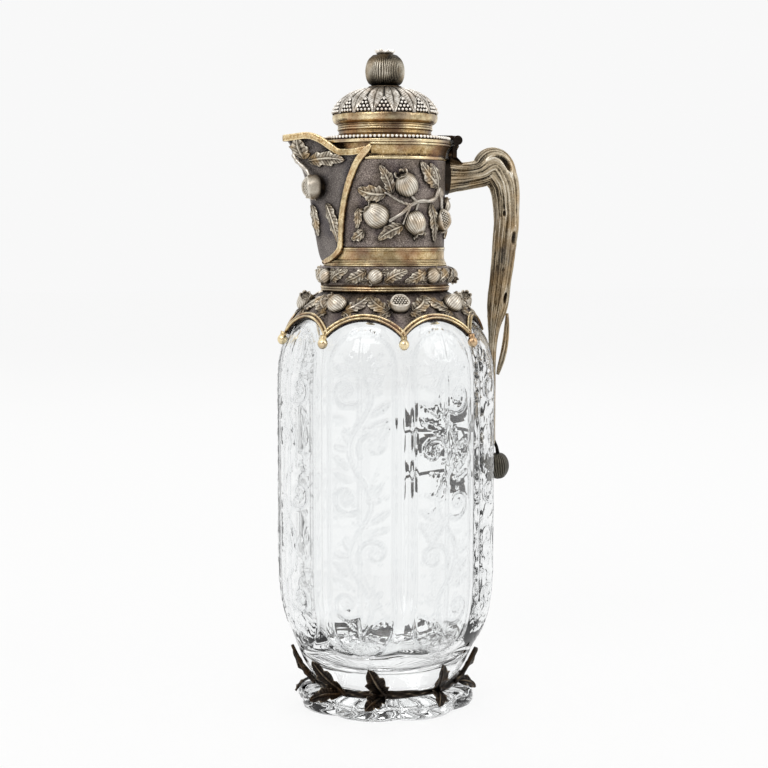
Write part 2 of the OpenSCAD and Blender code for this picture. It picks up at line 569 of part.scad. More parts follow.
// [x, z, half thickness in the plane of the handle, half thickness across it]
branch_rows = [[pad_x + root_gap, pad_z, branch_root_r, 7.4], [39, pad_z + 0.3, 6.9, 6.4],
    [47, pad_z + 1.9, 6.8, 6.2], [grip_x - 6.9, pad_z + 5.3, 9.4, 6.6],
    [grip_x - 2.3, pad_z - 1.2, 7.9, 6.7], [grip_x - 0.7, pad_z - 6.7, 7.2, 6.5],
    [grip_x - 0.1, pad_z - 14, 6.6, 6.4], [grip_x, pad_z - 22, branch_r, 6.3],
    [grip_x - 0.8, pad_z - 31, 6.1, 6.2], [grip_x - 2.4, pad_z - 48, 5.4, 5.8],
    [grip_x - 4.2, pad_z - 63, 5.1, 5.2], [grip_x - 5.9, pad_z - 74, 3.0, 3.6],
    [grip_x - 6.6, pad_z - 84, 1.9, 2.4], [grip_x - 6.9, pad_z - 94, 1.8, 2.2],
    [grip_x - 6.9, pad_z - 103, 1.9, 2], [grip_x - 6.9, pad_z - 122, 1.8, 1.8],
    [grip_x - 6.4, pad_z - 132, 1.5, 1.5]];
branch_path = spline([for (row = branch_rows) [row[0], 0, row[1]]], 3);
branch_radii = spline([for (row = branch_rows) [row[2], row[3]]], 3);
module handle_branch() color(silver) tube(branch_path, branch_radii, 14, [0, -1, 0]);
shoot_rows = [[grip_x + 0.7, pad_z - 67, 0.7], [grip_x + 0.5, pad_z - 74, 1.3],
    [grip_x - 0.1, pad_z - 81, 1.5], [grip_x - 1.3, pad_z - 88, 1.5], [grip_x - 3, pad_z - 94, 1.2],
    [grip_x - 4, pad_z - 97.5, 0.7]];
shoot_path = spline([for (row = shoot_rows) [row[0], 0, row[1]]], 3);
shoot_radii = spline([for (row = shoot_rows) [row[2], row[2]]], 3);
module handle_shoot() color(silver) tube(shoot_path, shoot_radii, 8, [0, -1, 0]);
notch_r = panel_offset * cos(half_notch) + sqrt(pow(panel_r, 2)
    - pow(panel_offset * sin(half_notch), 2));
handle_fruit_at = [notch_r + handle_fruit_r + 0.4, 0, pad_z - 143];
module handle_fruit() color(silver) translate(handle_fruit_at) sphere(handle_fruit_r);
// The spray lies on the back of the glass, on the far side of the branch: two stems and their leaves
function glass_r(a, z) = let (d = half_notch - a % (360 / panels),
    r = cap(panel_r, (z - panel_top_z) / (arch_top_z - panel_top_z), 3))
    panel_offset * cos(d) + sqrt(pow(r, 2) - pow(panel_offset * sin(d), 2));
spray_off = 1.2;   // from the glass to the middle of a leaf's base
spray_stem_r = 0.9;
function on_glass(a, z, h) = polar(a, glass_r(a, z) + h, z);
spray_stem_rows = [[[6, 142], [15, 137.5], [24, 134.5], [34, 132], [42, 130], [48, 129.3],
    [57, 128], [67, 128]],
    [[8, 127], [16, 120], [25, 115], [35, 110.5], [42, 108], [48, 106], [57, 103.5], [66, 102]]];
// [angle, height] from base to tip, then the width
spray_leaf_rows = [[[5, 168], [20, 175], 9], [[6, 152], [21, 159], 9], [[14, 140.5], [27, 147.5], 9],
    [[19, 132.5], [32, 124], 8.5], [[34, 134.8], [43, 145], 8], [[39, 127.5], [49, 117.5], 8],
    [[51, 131.8], [62, 140.5], 8], [[57, 125.2], [68, 117], 7.5], [[69, 129.5], [79, 134], 6.5],
    [[12, 119], [7, 106], 8], [[29, 116.5], [41, 119], 6.5], [[33, 108], [40, 97], 8],
    [[52, 108.2], [63, 112], 6], [[56, 100.5], [66, 92], 7.5]];
module handle_leaves() color(dark_silver) {
    for (row = spray_leaf_rows)
        free_leaf(on_glass(row[0][0], row[0][1], spray_off), on_glass(row[1][0], row[1][1], spray_off + 0.2),
            polar(row[1][0], 1, 0), row[2], 1.1);
    for (row = spray_stem_rows) {
        path = spline([for (p = row) on_glass(p[0], p[1], spray_stem_r + 0.3)], 2);
        tube(path, [for (i = [0:len(path) - 1]) spray_stem_r * (1 - 0.4 * i / len(path)) * [1, 1]], 6);
    }
}

// ---- wreath round the waist ----
wreath_z = 9 + wreath_t + 0.4;
wreath_n = 48;
module wreath_branch() color(dark_silver) rotate_extrude() translate([wreath_r, wreath_z])
    circle(wreath_t, $fn = 24);
// Places of the leaf pairs, degrees, and how far the pair leans along the ring
wreath_rows = [[171, 9], [226, -16], [259, -9], [305, -8], [337, 9], [12, 9], [52, -12], [92, 9],
    [132, -10]];
module wreath_leaves() color(dark_silver) for (row = wreath_rows) {
    base_r = wreath_r + wreath_t + 0.7;
    free_leaf(polar(row[0], base_r, wreath_z + 1.3), polar(row[0] + row[1], base_r + 9.5, 25.5),
        polar(row[0] + row[1] / 2, 1, -1), 8.5, 0.6);
    free_leaf(polar(row[0], base_r - 0.1, wreath_z - 0.4), polar(row[0] + row[1], foot_r + 1.4, 6.2),
        polar(row[0] + row[1] / 2, 0.7, 1), 8, 0.8);
}
twig_as = [184, 330, 30, 110];
module wreath_twigs() color(dark_silver) for (a = twig_as) {
    path = [polar(a, wreath_r + wreath_t + 0.8, wreath_z), polar(a, wreath_r + 6.4, 18),
        polar(a, wreath_r + 11, 26), polar(a, wreath_r + 14.6, 34)];
    tube(path, [[1.2, 1.2], [1, 1], [0.9, 0.9], [0.7, 0.7]], 6);
}

// ---- hinge: two outer and one middle knuckle on the jug, two knuckles on the lid ----
knuckle_pitch = knuckle_len + knuckle_gap;
jug_knuckles = [-2, 0, 2];
lid_knuckles = [-1, 1];
hinge_half = 2.5 * knuckle_pitch - knuckle_gap / 2;
module knuckle(i, r) translate([hinge_x, i * knuckle_pitch - knuckle_len / 2, hinge_z])
    rotate([-90, 0, 0]) cylinder(r = r, h = knuckle_len);
module hinge_bore() translate([hinge_x, -hinge_half - 1, hinge_z]) rotate([-90, 0, 0])
    cylinder(r = pin_r + pin_fit, h = 2 * hinge_half + 2);
bracket_x = rim_r + solder;
bracket_t = 2.1;
bracket_top_z = hinge_z - knuckle_r - 0.3;
bracket_foot_z = pad_z + branch_root_r + 0.9;
module hinge_bracket() color(dark_silver) difference() {
    union() {
        translate([bracket_x, -hinge_half, bracket_foot_z])
            cube([bracket_t, 2 * hinge_half, bracket_top_z - bracket_foot_z]);
        for (i = jug_knuckles) {
            knuckle(i, knuckle_r);
            translate([hinge_x - 1.4, i * knuckle_pitch - knuckle_len / 2, bracket_top_z - 0.5])
                cube([bracket_x + bracket_t - hinge_x + 1.4, knuckle_len, 2]);
        }
    }
    hinge_bore();
}
module hinge_pin() color(silver) translate([hinge_x, -hinge_half, hinge_z]) rotate([-90, 0, 0])
    cylinder(r = pin_r, h = 2 * hinge_half);
strap_end_x = hinge_x - knuckle_r - 0.15;
strap_z = plate_top_z + solder;
strap_t = 1.2;
module hinge_strap() color(dark_silver) difference() {
    union() {
        translate([band_r + 1.8, -hinge_half + 1, strap_z])
            cube([strap_end_x - band_r - 1.8, 2 * hinge_half - 2, strap_t]);
        for (i = lid_knuckles) {
            knuckle(i, knuckle_r);
            translate([strap_end_x - 0.5, i * knuckle_pitch - knuckle_len / 2, strap_z])
                cube([hinge_x - strap_end_x + 0.5, knuckle_len, strap_t]);
        }
    }
    hinge_bore();
}

// ---- lid ----
bead_ring_r = lid_r - 0.6;
bead_z = lid_z + 1.75 + bead_r;
bead_seat_r = bead_ring_r - bead_r - solder;
lid_hole_r = band_r - 2.2;
flat_x = hinge_x - knuckle_r - 0.9;   // the plate is cut straight beside the hinge
module lid_plate() color(gilt) difference() {
    rotate_extrude() polygon([[lid_hole_r, lid_z + 1.9], [bezel_r - 1.2, lid_z + 1.9],
        [bezel_r - 1.2, lid_z], [lid_r - 0.3, lid_z], [lid_r, lid_z + 0.5], [lid_r, lid_z + 1.7],
        [bead_seat_r, lid_z + 1.7], [bead_seat_r, plate_top_z - 0.5],
        [bead_seat_r - 0.6, plate_top_z], [band_r + 3, plate_top_z],
        [band_r + 0.6, plate_top_z + 0.8], [band_r - 0.7, lid_band_z], [lid_hole_r, lid_band_z]]);
    translate([flat_x, -hinge_half - 1, lid_z - 1]) cube([10, 2 * hinge_half + 2, lid_plate_h + 2]);
    // the strap is let into the raised cove by its own thickness
    translate([band_r + 1.8 - solder, -hinge_half + 1 - solder, plate_top_z])
        cube([20, 2 * hinge_half - 2 + 2 * solder, strap_t + 1]);
}
bead_gap_a = asin((hinge_half + 2) / lid_r);
module lid_beads() color(silver) for (i = [0:bead_places - 1]) {
    a = i * 360 / bead_places;
    if (a > bead_gap_a && a < 360 - bead_gap_a) translate(polar(a, bead_ring_r, bead_z))
        sphere(bead_r);
}
module lid_bezel() color(gilt) rotate_extrude() polygon([[bezel_r - 1.1, lid_z - bezel_h],
    [bezel_r - 0.3, lid_z - bezel_h], [bezel_r, lid_z - bezel_h + 0.6], [bezel_r, lid_z - solder],
    [bezel_r - 1.1, lid_z - solder]]);
module lid_band() color(gilt) rotate_extrude() polygon([[lid_hole_r, lid_band_z],
    [band_r - 0.7, lid_band_z], [band_r - 0.8, lid_band_z + 1.6], [band_r - 0.1, lid_band_z + 2],
    [band_r - 0.1, lid_band_z + 3], [band_r - 0.6, lid_band_z + 3.3], [band_r - 0.6, dome_z - 1],
    [band_r, dome_z - 0.8], [band_r, dome_z], [lid_hole_r, dome_z]]);
dome_t = 1;
dome_hole_r = 1.7;
dome_steps = 12;
dome_line = [for (i = [0:dome_steps]) dome_pt(84 * i / dome_steps)];
module lid_dome() color(dark_silver) difference() {
    rotate_extrude() polygon(concat([[0, dome_z], [band_r + 0.2, dome_z],
        [mix(band_r, dome_r, 0.85), dome_z + 1.6]], dome_line,
        [[0, dome_pt(84)[1]]]));
    rotate_extrude() polygon(concat([[0, dome_z - 1], [lid_hole_r, dome_z - 1], [lid_hole_r, dome_z + 1.4]],
        [for (i = [0:dome_steps]) dome_pt(80 * i / dome_steps, -dome_t)],
        [[0, dome_pt(80, -dome_t)[1]]]));
    cylinder(r = dome_hole_r, h = 2 * dome_top_z);
}
dome_step_a = 360 / dome_leaves_n;
module lid_dome_leaves() color(silver) for (i = [0:dome_leaves_n - 1])
    leaf_on(function(a, q, h) on_dome(a, q, h), 19, [i * dome_step_a, 66], [i * dome_step_a, 7],
        6, 0.5, 0.32);
grain_rows = [[25, 1], [18.5, 2], [12.5, 3], [6.5, 4]];   // [place on the dome, grains in the row]
module lid_grains() color(silver) for (i = [0:dome_leaves_n - 1], row = grain_rows,
    k = [0:row[1] - 1])
    translate(on_dome((i + 0.5) * dome_step_a + (k - (row[1] - 1) / 2) * 3.85, row[0],
        grain_r * 0.95 + solder)) sphere(grain_r);

// ---- finial ----
seat_r = 7.4;
seat_z = dome_pt(72)[1] - 0.4;
module finial_seat() color(gilt) difference() {
    rotate_extrude() polygon([[0, seat_z], [seat_r + 0.8, seat_z], [seat_r + 0.6, seat_z + 0.9],
        [seat_r - 1.2, dome_top_z + 0.4], [0, dome_top_z + 0.4]]);
    rotate_extrude() polygon(concat([[0, seat_z - 1], [dome_pt(60, solder)[0], seat_z - 1]],
        [for (i = [0:6]) dome_pt(60 + 4 * i, solder)], [[0, dome_pt(84, solder)[1]]]));
    cylinder(r = dome_hole_r, h = 2 * dome_top_z);
}
fruit_floor_z = dome_top_z + 0.4;
fruit_top_z = finial_z + finial_r * 0.79;
screw_r = 1.5;
module finial_fruit() color(silver) difference() {
    intersection() {
        translate([0, 0, finial_z]) sphere(finial_r);
        translate([0, 0, fruit_floor_z]) cylinder(r = 20, h = fruit_top_z - fruit_floor_z);
    }
    translate([0, 0, fruit_floor_z - 1]) cylinder(r = screw_r + solder, h = 7);
}
sepals = 6;
module finial_crown() color(silver) {
    difference() {
        translate([0, 0, fruit_top_z]) cylinder(r1 = crown_r - 1, r2 = crown_r, h = 3.4);
        translate([0, 0, fruit_top_z + 1]) cylinder(r1 = crown_r - 2, r2 = crown_r - 0.6, h = 3);
        for (i = [0:sepals - 1]) rotate((i + 0.5) * 360 / sepals)
            translate([0, 0, fruit_top_z + 3.6]) rotate([0, 90, 0]) cylinder(r = 1.5, h = 10);
    }
}
nut_h = 2.2;
nut_top_z = dome_pt(80, -dome_t)[1] - solder;
module finial_screw() color(silver) translate([0, 0, nut_top_z - nut_h - 0.8])
    cylinder(r = screw_r, h = fruit_floor_z + 5.5 - nut_top_z + nut_h + 0.8);
module finial_nut() color(silver) translate([0, 0, nut_top_z - nut_h]) difference() {
    cylinder(r = 3.2, h = nut_h, $fn = 6);
    translate([0, 0, -1]) cylinder(r = screw_r + solder, h = nut_h + 2);
}

glass_vessel();
neck_plaster();
shoulder_mount();
shoulder_wire();
shoulder_balls();
shoulder_fruits();
shoulder_leaves();
neck_ring();
garland_ring();
garland_fruits();
garland_leaves();
base_moulding();
base_band();
collar_body();
collar_rim();
spout_shell();
spout_lip_wire();
spout_side_wires();
spout_stem();
spout_fruit();
spout_leaves();
collar_branches();
collar_fruits();
collar_leaves();
fruit_seeds();
handle_pad();
handle_branch();
handle_shoot();
handle_fruit();
handle_leaves();
hinge_bracket();
hinge_pin();
wreath_branch();
wreath_leaves();
wreath_twigs();
lid_plate();
lid_beads();
lid_bezel();
lid_band();
lid_dome();
lid_dome_leaves();
lid_grains();
finial_seat();
finial_fruit();
finial_crown();
finial_screw();
finial_nut();
hinge_strap();
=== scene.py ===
# A claret jug: thick cut glass set in oxidised silver and silver-gilt mounts, with a lid on a hinge.
import math

import bpy
import numpy as np
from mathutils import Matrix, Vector


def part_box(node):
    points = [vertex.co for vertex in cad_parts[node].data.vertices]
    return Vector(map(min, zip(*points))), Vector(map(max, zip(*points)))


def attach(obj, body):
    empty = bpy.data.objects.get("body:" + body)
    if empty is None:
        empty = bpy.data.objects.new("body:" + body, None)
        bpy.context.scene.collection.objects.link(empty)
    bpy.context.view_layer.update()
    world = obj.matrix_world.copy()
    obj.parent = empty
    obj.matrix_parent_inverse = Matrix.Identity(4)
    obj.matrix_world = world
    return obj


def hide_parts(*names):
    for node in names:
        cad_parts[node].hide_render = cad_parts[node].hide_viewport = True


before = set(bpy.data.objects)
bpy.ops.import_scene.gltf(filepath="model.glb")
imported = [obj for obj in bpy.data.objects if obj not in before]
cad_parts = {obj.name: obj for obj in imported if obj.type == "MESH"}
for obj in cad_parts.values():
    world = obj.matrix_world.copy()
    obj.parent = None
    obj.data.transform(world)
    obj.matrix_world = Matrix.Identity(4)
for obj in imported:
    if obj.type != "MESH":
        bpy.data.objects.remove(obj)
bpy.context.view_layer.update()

mm = 0.001               # all sizes below are millimetres, and become metres when a mesh is made


def lowOf(node):
    # the lowest and, below, the highest place of a CAD node, in millimetres
    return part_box(node)[0].z / mm


def highOf(node):
    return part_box(node)[1].z / mm


# heights up the jug, taken from the frame
shoulderTop, ringTop, garlandTop = lowOf("neck_ring"), lowOf("garland_ring"), lowOf("base_moulding")
mouldingTop, bandTop, collarTop = lowOf("base_band"), lowOf("collar_body"), lowOf("collar_rim")
rimTop, lidFoot, lidBandFoot = highOf("collar_rim"), lowOf("lid_plate"), lowOf("lid_band")
domeFoot = lowOf("lid_dome")


# ---- points and curves, all on whole arrays ----
def polar(angle, radius, z):
    # the point at an angle in degrees, a radius and a height
    angle, radius, z = np.broadcast_arrays(np.radians(angle), radius, z)
    return np.stack([radius * np.cos(angle), radius * np.sin(angle), z], -1)


def unit(v):
    # vectors of length 1
    return v / np.maximum(np.linalg.norm(v, axis=-1, keepdims=True), 1e-9)


def degreeArc(radius):
    # the millimetres in one degree at a radius
    return radius * np.pi / 180


def smooth(t):
    # 0 to 1 with level ends: 3t^2 - 2t^3
    t = np.clip(t, 0, 1)
    return t * t * (3 - 2 * t)


def bump(x, width):
    # a bell: exp(-(x / width)^2)
    return np.exp(-(x / width) ** 2)


def cap(radius, u, power):
    # a radius that closes as u goes from 0 to 1, along a superellipse
    return radius * (1 - np.clip(u, 0, 1) ** power) ** (1 / power)


def bezier(p, t):
    # the quadratic curve on three control points, and its unit direction
    t = np.asarray(t, float)[..., None]
    at = (1 - t) ** 2 * p[0] + 2 * t * (1 - t) * p[1] + t * t * p[2]
    return at, unit(2 * (1 - t) * (p[1] - p[0]) + 2 * t * (p[2] - p[1]))


def spline(points, steps):
    # a smooth curve through the points: the cubic on each four neighbours, steps samples a stretch
    p = np.asarray(points, float)
    e = np.vstack([p[:1], p, p[-1:]])
    t = (np.arange(steps) / steps)[:, None]
    a, b, c, d = (x[:, None] for x in (e[:-3], e[1:-2], e[2:-1], e[3:]))
    curve = 0.5 * (2 * b + (c - a) * t + (2 * a - 5 * b + 4 * c - d) * t**2 + (3 * b - a - 3 * c + d) * t**3)
    return np.vstack([curve.reshape(-1, p.shape[1]), p[-1:]])


def waves(x, y, seed, count=6):
    # smooth noise from -1 to 1: a mean of sines that run in seeded directions
    rng = np.random.default_rng(seed)
    total = 0
    for _ in range(count):
        turn, phase, pace = rng.uniform(0, 2 * np.pi), rng.uniform(0, 2 * np.pi), rng.uniform(0.6, 1.7)
        total = total + np.sin(pace * (x * math.cos(turn) + y * math.sin(turn)) + phase)
    return total / count


# ---- meshes: each part is a closed surface with a "lift", 0 in the hollows and 1 on the high places, and lowered in places as painted shade ----
def surface(points, lift=0.6, wrap=True, loop=False, size=(1, 1)):
    # A grid of points (rows, columns, 3). wrap closes it across the columns. With loop the last row meets the
    # first, and otherwise a fan closes each end. size is what the UV map measures around and along.
    rows, cols = points.shape[:2]
    index = np.arange(rows * cols).reshape(rows, cols)
    if loop:
        index = np.vstack([index, index[:1]])
    if wrap:
        index = np.hstack([index, index[:, :1]])
    a, b, c, d = index[:-1, :-1], index[:-1, 1:], index[1:, 1:], index[1:, :-1]
    u, v = np.meshgrid(np.linspace(0, size[0], index.shape[1]), np.linspace(0, size[1], index.shape[0]))
    uv = np.stack([u, v], -1)
    quadUv = np.stack([uv[:-1, :-1], uv[:-1, 1:], uv[1:, 1:], uv[1:, :-1]], 2).reshape(-1, 4, 2)
    verts = points.reshape(-1, 3)
    lifts = np.broadcast_to(lift, (rows, cols)).reshape(-1)
    tris, triUv = np.zeros((0, 3), int), np.zeros((0, 3, 2))
    if wrap and not loop:
        first, last = index[0], index[-1]
        low, high = len(verts), len(verts) + 1
        verts = np.vstack([verts, points[0].mean(0), points[-1].mean(0)])
        lifts = np.append(lifts, [lifts[:cols].mean(), lifts[-cols:].mean()])
        tris = np.vstack([np.stack([first[1:], first[:-1], np.full(cols, low)], 1),
                          np.stack([last[:-1], last[1:], np.full(cols, high)], 1)])
        triUv = np.vstack([np.stack([uv[0, 1:], uv[0, :-1], uv[0, :-1]], 1),
                           np.stack([uv[-1, :-1], uv[-1, 1:], uv[-1, 1:]], 1)])
    part = {"verts": verts, "quads": np.stack([a, b, c, d], -1).reshape(-1, 4), "tris": tris,
            "lift": lifts, "quadUv": quadUv, "triUv": triUv}
    return outward(part)


def outward(part):
    # turns the faces over where the enclosed volume, the sum of the corners' triple products, is negative
    q, t, v = part["quads"], part["tris"], part["verts"]
    fan = np.vstack([q[:, [0, 1, 2]], q[:, [0, 2, 3]], t])
    a, b, c = (v[fan[:, k]] - v.mean(0) for k in range(3))
    if np.einsum("ij,ij->i", a, np.cross(b, c)).sum() < 0:
        part["quads"], part["quadUv"] = q[:, ::-1], part["quadUv"][:, ::-1]
        part["tris"], part["triUv"] = t[:, ::-1], part["triUv"][:, ::-1]
    return part


def makePiece(name, parts, material, body, replaces=(), flat=False):
    # joins the parts into one mesh object that rides on a body and stands for CAD nodes
    starts = np.cumsum([0] + [len(p["verts"]) for p in parts])[:-1]
    verts = np.vstack([p["verts"] for p in parts]) * mm
    quads = np.vstack([p["quads"] + s for p, s in zip(parts, starts)])
    tris = np.vstack([p["tris"] + s for p, s in zip(parts, starts)])
    uv = np.vstack([p["quadUv"].reshape(-1, 2) for p in parts] + [p["triUv"].reshape(-1, 2) for p in parts])
    mesh = bpy.data.meshes.new(name)
    mesh.vertices.add(len(verts))
    mesh.vertices.foreach_set("co", verts.ravel())
    corners = np.concatenate([quads.ravel(), tris.ravel()]).astype(np.int32)
    mesh.loops.add(len(corners))
    mesh.loops.foreach_set("vertex_index", corners)
    sides = np.concatenate([np.full(len(quads), 4), np.full(len(tris), 3)])
    mesh.polygons.add(len(sides))
    mesh.polygons.foreach_set("loop_start", (np.cumsum(sides) - sides).astype(np.int32))
    mesh.polygons.foreach_set("use_smooth", np.full(len(sides), not flat))
    layer = mesh.uv_layers.new(name="UVMap")
    mesh.update(calc_edges=True)
    layer.data.foreach_set("uv", uv.ravel())
    lifts = mesh.attributes.new("lift", "FLOAT", "POINT")
    lifts.data.foreach_set("value", np.concatenate([p["lift"] for p in parts]).astype(np.float32))
    mesh.validate()
    piece = bpy.data.objects.new(name, mesh)
    bpy.context.scene.collection.objects.link(piece)
    mesh.materials.append(material)
    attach(piece, body)
    if replaces:
        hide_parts(*replaces)
    return piece


def soften(profile, radius, steps=3):
    # rounds each corner of a closed profile of (radius, height, lift): a quadratic arc that starts and ends
    # at most radius from the corner
    p = np.array([q if len(q) == 3 else (*q, 0.55) for q in profile], float)
    before, after = np.roll(p, 1, 0), np.roll(p, -1, 0)
    made = []
    for a, b, c in zip(before, p, after):
        legA, legC = np.linalg.norm(a[:2] - b[:2]), np.linalg.norm(c[:2] - b[:2])
        reach = min(radius, legA / 2.2, legC / 2.2)
        start, end = b + (a - b) * reach / legA, b + (c - b) * reach / legC
        for t in np.linspace(0, 1, steps):
            at = (1 - t) ** 2 * start + 2 * t * (1 - t) * b + t * t * end
            at[2] = b[2]
            made.append(at)
    return np.array(made)


def above(foot, profile):
    # a profile of (radius, height, lift) whose heights are measured from foot
    return [(radius, foot + z, *rest) for radius, z, *rest in profile]


def lathe(profile, corner=0.25, around=192, wobble=0.0, seed=1):
    # a ring turned about the jug's axis: a closed profile of (radius, height, lift) carried round, with its
    # radius varied a little by smooth noise
    p = soften(profile, corner)
    angle = np.arange(around) * 360 / around
    radius = p[:, None, 0] + wobble * waves(angle[None] / 9, p[:, None, 1] / 3, seed)
    length = 2 * np.pi * p[:, 0].mean()
    return surface(polar(angle[None], radius, p[:, None, 1]), p[:, None, 2], loop=True, size=(length, len(p)))


def tube(path, radii, around=12, side=(0, 0, 1), relief=None, lift=0.6):
    # a ring of points round each point of the path: radii holds its half sizes across and along side, and
    # relief is added along each spoke
    path, side = np.asarray(path, float), np.broadcast_to(side, np.shape(path))
    radii = np.asarray(radii, float)
    radii = radii if radii.ndim == 2 else np.stack([np.broadcast_to(radii, len(path))] * 2, 1)
    ahead = np.vstack([path[1:], path[-1:]])
    back = np.vstack([path[:1], path[:-1]])
    way = unit(ahead - back)
    across = unit(np.cross(side, way))
    up = np.cross(way, across)
    q = np.arange(around) * 2 * np.pi / around
    extra = 0 if relief is None else relief
    wide, tall = radii[:, :1] + extra, radii[:, 1:] + extra
    points = (path[:, None] + (wide * np.cos(q))[..., None] * across[:, None]
              + (tall * np.sin(q))[..., None] * up[:, None])
    long = np.linalg.norm(np.diff(path, axis=0), axis=1).sum()
    return surface(points, lift, size=(2 * np.pi * radii.mean(), long))


def band(path, out, section, lift=None, scale=None):
    # a moulded strip: a closed section of (across, out, lift) carried along a path, with out as its top
    path, out = np.asarray(path, float), unit(np.asarray(out, float))
    way = unit(np.vstack([path[1:], path[-1:]]) - np.vstack([path[:1], path[:-1]]))
    across = unit(np.cross(out, way))
    out = np.cross(way, across)
    s = np.asarray(section, float)
    scale = np.ones(len(path)) if scale is None else scale
    points = (path[:, None] + (s[None, :, 0] * scale[:, None])[..., None] * across[:, None]
              + (s[None, :, 1] * scale[:, None])[..., None] * out[:, None])
    long = np.linalg.norm(np.diff(path, axis=0), axis=1).sum()
    return surface(points, s[None, :, 2] if lift is None else lift, size=(6, long))


def balls(centres, radius, around=10, rows=6, lift=1.0):
    # copies of one small ball, all built at once
    centres = np.asarray(centres, float).reshape(-1, 3)
    q = (np.arange(rows) + 0.5) * np.pi / rows
    one = surface(np.stack([np.sin(q)[:, None] * np.cos(np.arange(around) * 2 * np.pi / around),
                            np.sin(q)[:, None] * np.sin(np.arange(around) * 2 * np.pi / around),
                            np.broadcast_to(np.cos(q)[:, None], (rows, around))], -1), lift)
    n, m = len(centres), len(one["verts"])
    step = np.arange(n)[:, None, None] * m
    radius = np.broadcast_to(radius, n)[:, None, None]
    return {"verts": (centres[:, None] + radius * one["verts"]).reshape(-1, 3),
            "quads": (one["quads"] + step).reshape(-1, 4), "tris": (one["tris"] + step).reshape(-1, 3),
            "lift": np.tile(one["lift"], n), "quadUv": np.zeros((n * len(one["quads"]), 4, 2)),
            "triUv": np.zeros((n * len(one["tris"]), 3, 2))}


# ---- carriers: the surfaces that ornament lies on, each (a, b, h) -> points, h off the surface ----
neck = {"footR": 28.8, "topR": 29.4, "bore": 27.6, "garlandEdge": 31.2, "garlandR": 32.7}
shoulder = {"topR": 30.3, "tipR": 48.8, "tipZ": 183.0, "archR": 24.4, "archZ": 166.6, "t": 1.2}
shoulderCurve = np.array([[shoulder["topR"], shoulderTop], [43.25, 195.18], [shoulder["tipR"], shoulder["tipZ"]]])


def collarRadius(z):
    share = (np.asarray(z, float) - bandTop) / (collarTop - bandTop)
    return neck["footR"] + (neck["topR"] - neck["footR"]) * share


def onCollar(a, z, h):
    return polar(a, collarRadius(z) + h, z)


def shoulderPoint(t, h):
    # the mount's outline at t from top to tip, moved h along its normal: (radius, height)
    at, way = bezier(shoulderCurve, t)
    return at[..., 0] - way[..., 1] * h, at[..., 1] + way[..., 0] * h


def onShoulder(a, t, h):
    radius, z = shoulderPoint(t, h)
    return polar(a, radius, z)


def garlandRadius(z):
    share = np.clip((np.asarray(z, float) - ringTop) / (garlandTop - ringTop), 0, 1)
    return neck["garlandEdge"] + (neck["garlandR"] - neck["garlandEdge"]) * np.sin(np.pi * share)


def onGarland(a, z, h):
    return polar(a, garlandRadius(z) + h, z)


dome = {"radius": 25.0, "height": 15.0, "power": 2.1, "wide": domeFoot + 3.3}


def domePoint(q, h):
    # the dome's outline at q degrees above its widest place, moved h outwards: (radius, height)
    q = np.radians(q)
    return (dome["radius"] * np.cos(q) ** (2 / dome["power"]) + h * np.cos(q),
            dome["wide"] + dome["height"] * np.sin(q) ** (2 / dome["power"]) + h * np.sin(q))


def onDome(a, q, h):
    radius, z = domePoint(q, h)
    return polar(a, radius, z)


spout = {"reach": 48.5, "belly": 8.0, "t": 1.2, "rise": 5.5, "dip": 2.8, "foot": mouldingTop + 0.4,
         "wireH": 1.3, "at": 180.0}
spout["tip"] = rimTop + spout["rise"] - 0.9


def upKeel(z):
    return np.clip((np.asarray(z, float) - spout["foot"]) / (spout["tip"] - spout["foot"]), 0, 1)


def keelRadius(z):
    # the keel's reach: a quick swell at the foot, a straight middle and a beak that runs out at the top
    u, foot = upKeel(z), neck["footR"] + 0.5
    return foot + spout["belly"] * np.sqrt(u) + (spout["reach"] - foot - spout["belly"]) * u**3.8


def frameAngle(z):
    # half of the angle between the wires beside the spout
    u = upKeel(z)
    v = np.minimum(u / 0.14, 1)
    return 35 * np.sqrt(1 - (1 - v) ** 2) + 38 * u**2.6


def lipHeight(da):
    # the lip's height at da degrees from the keel: level at the beak, a dip beside the lid, a rise to the rim
    a = np.abs(da)
    return (rimTop + spout["rise"] - 0.9 * (1 - smooth(a / 13)) - (spout["rise"] + spout["dip"])
            * smooth((a - 12) / 26) + 1.4 * smooth((a - 48) / 20))


def spoutRadius(da, z, h):
    # two straight walls, tangent to the collar, that meet in a soft keel
    r0 = collarRadius(np.clip(z, bandTop, collarTop)) + spout["t"]
    meet = np.degrees(np.arccos(np.minimum(r0 / (keelRadius(z) + spout["t"]), 1)))
    soft = np.sqrt(da * da + 6) - math.sqrt(6)
    return h + np.where(soft < meet, r0 / np.cos(np.radians(np.maximum(meet - soft, 0))), r0)


def onSpout(a, z, h):
    return polar(a, spoutRadius(a - spout["at"], z, h), z)


def spread(carrier, base, tip, arc, rise=1.0, bend=0.0):
    # lays flat millimetres on a carrier: x runs 0 to 1 from base to tip, y sideways, and bend bows the line.
    # arc is the millimetres in one degree, rise the millimetres in one step of height.
    base, tip = np.array(base, float), np.array(tip, float)
    scale = np.array([arc, rise])
    run = (tip - base) * scale
    long = np.linalg.norm(run)
    way = run / long

    def place(x, y, h):
        y = y + bend * np.sin(np.pi * np.clip(x, 0, 1))
        a = base[0] + (way[0] * long * x - way[1] * y) / scale[0]
        z = base[1] + (way[1] * long * x + way[0] * y) / scale[1]
        return carrier(a, z, h)
    place.long = long
    return place


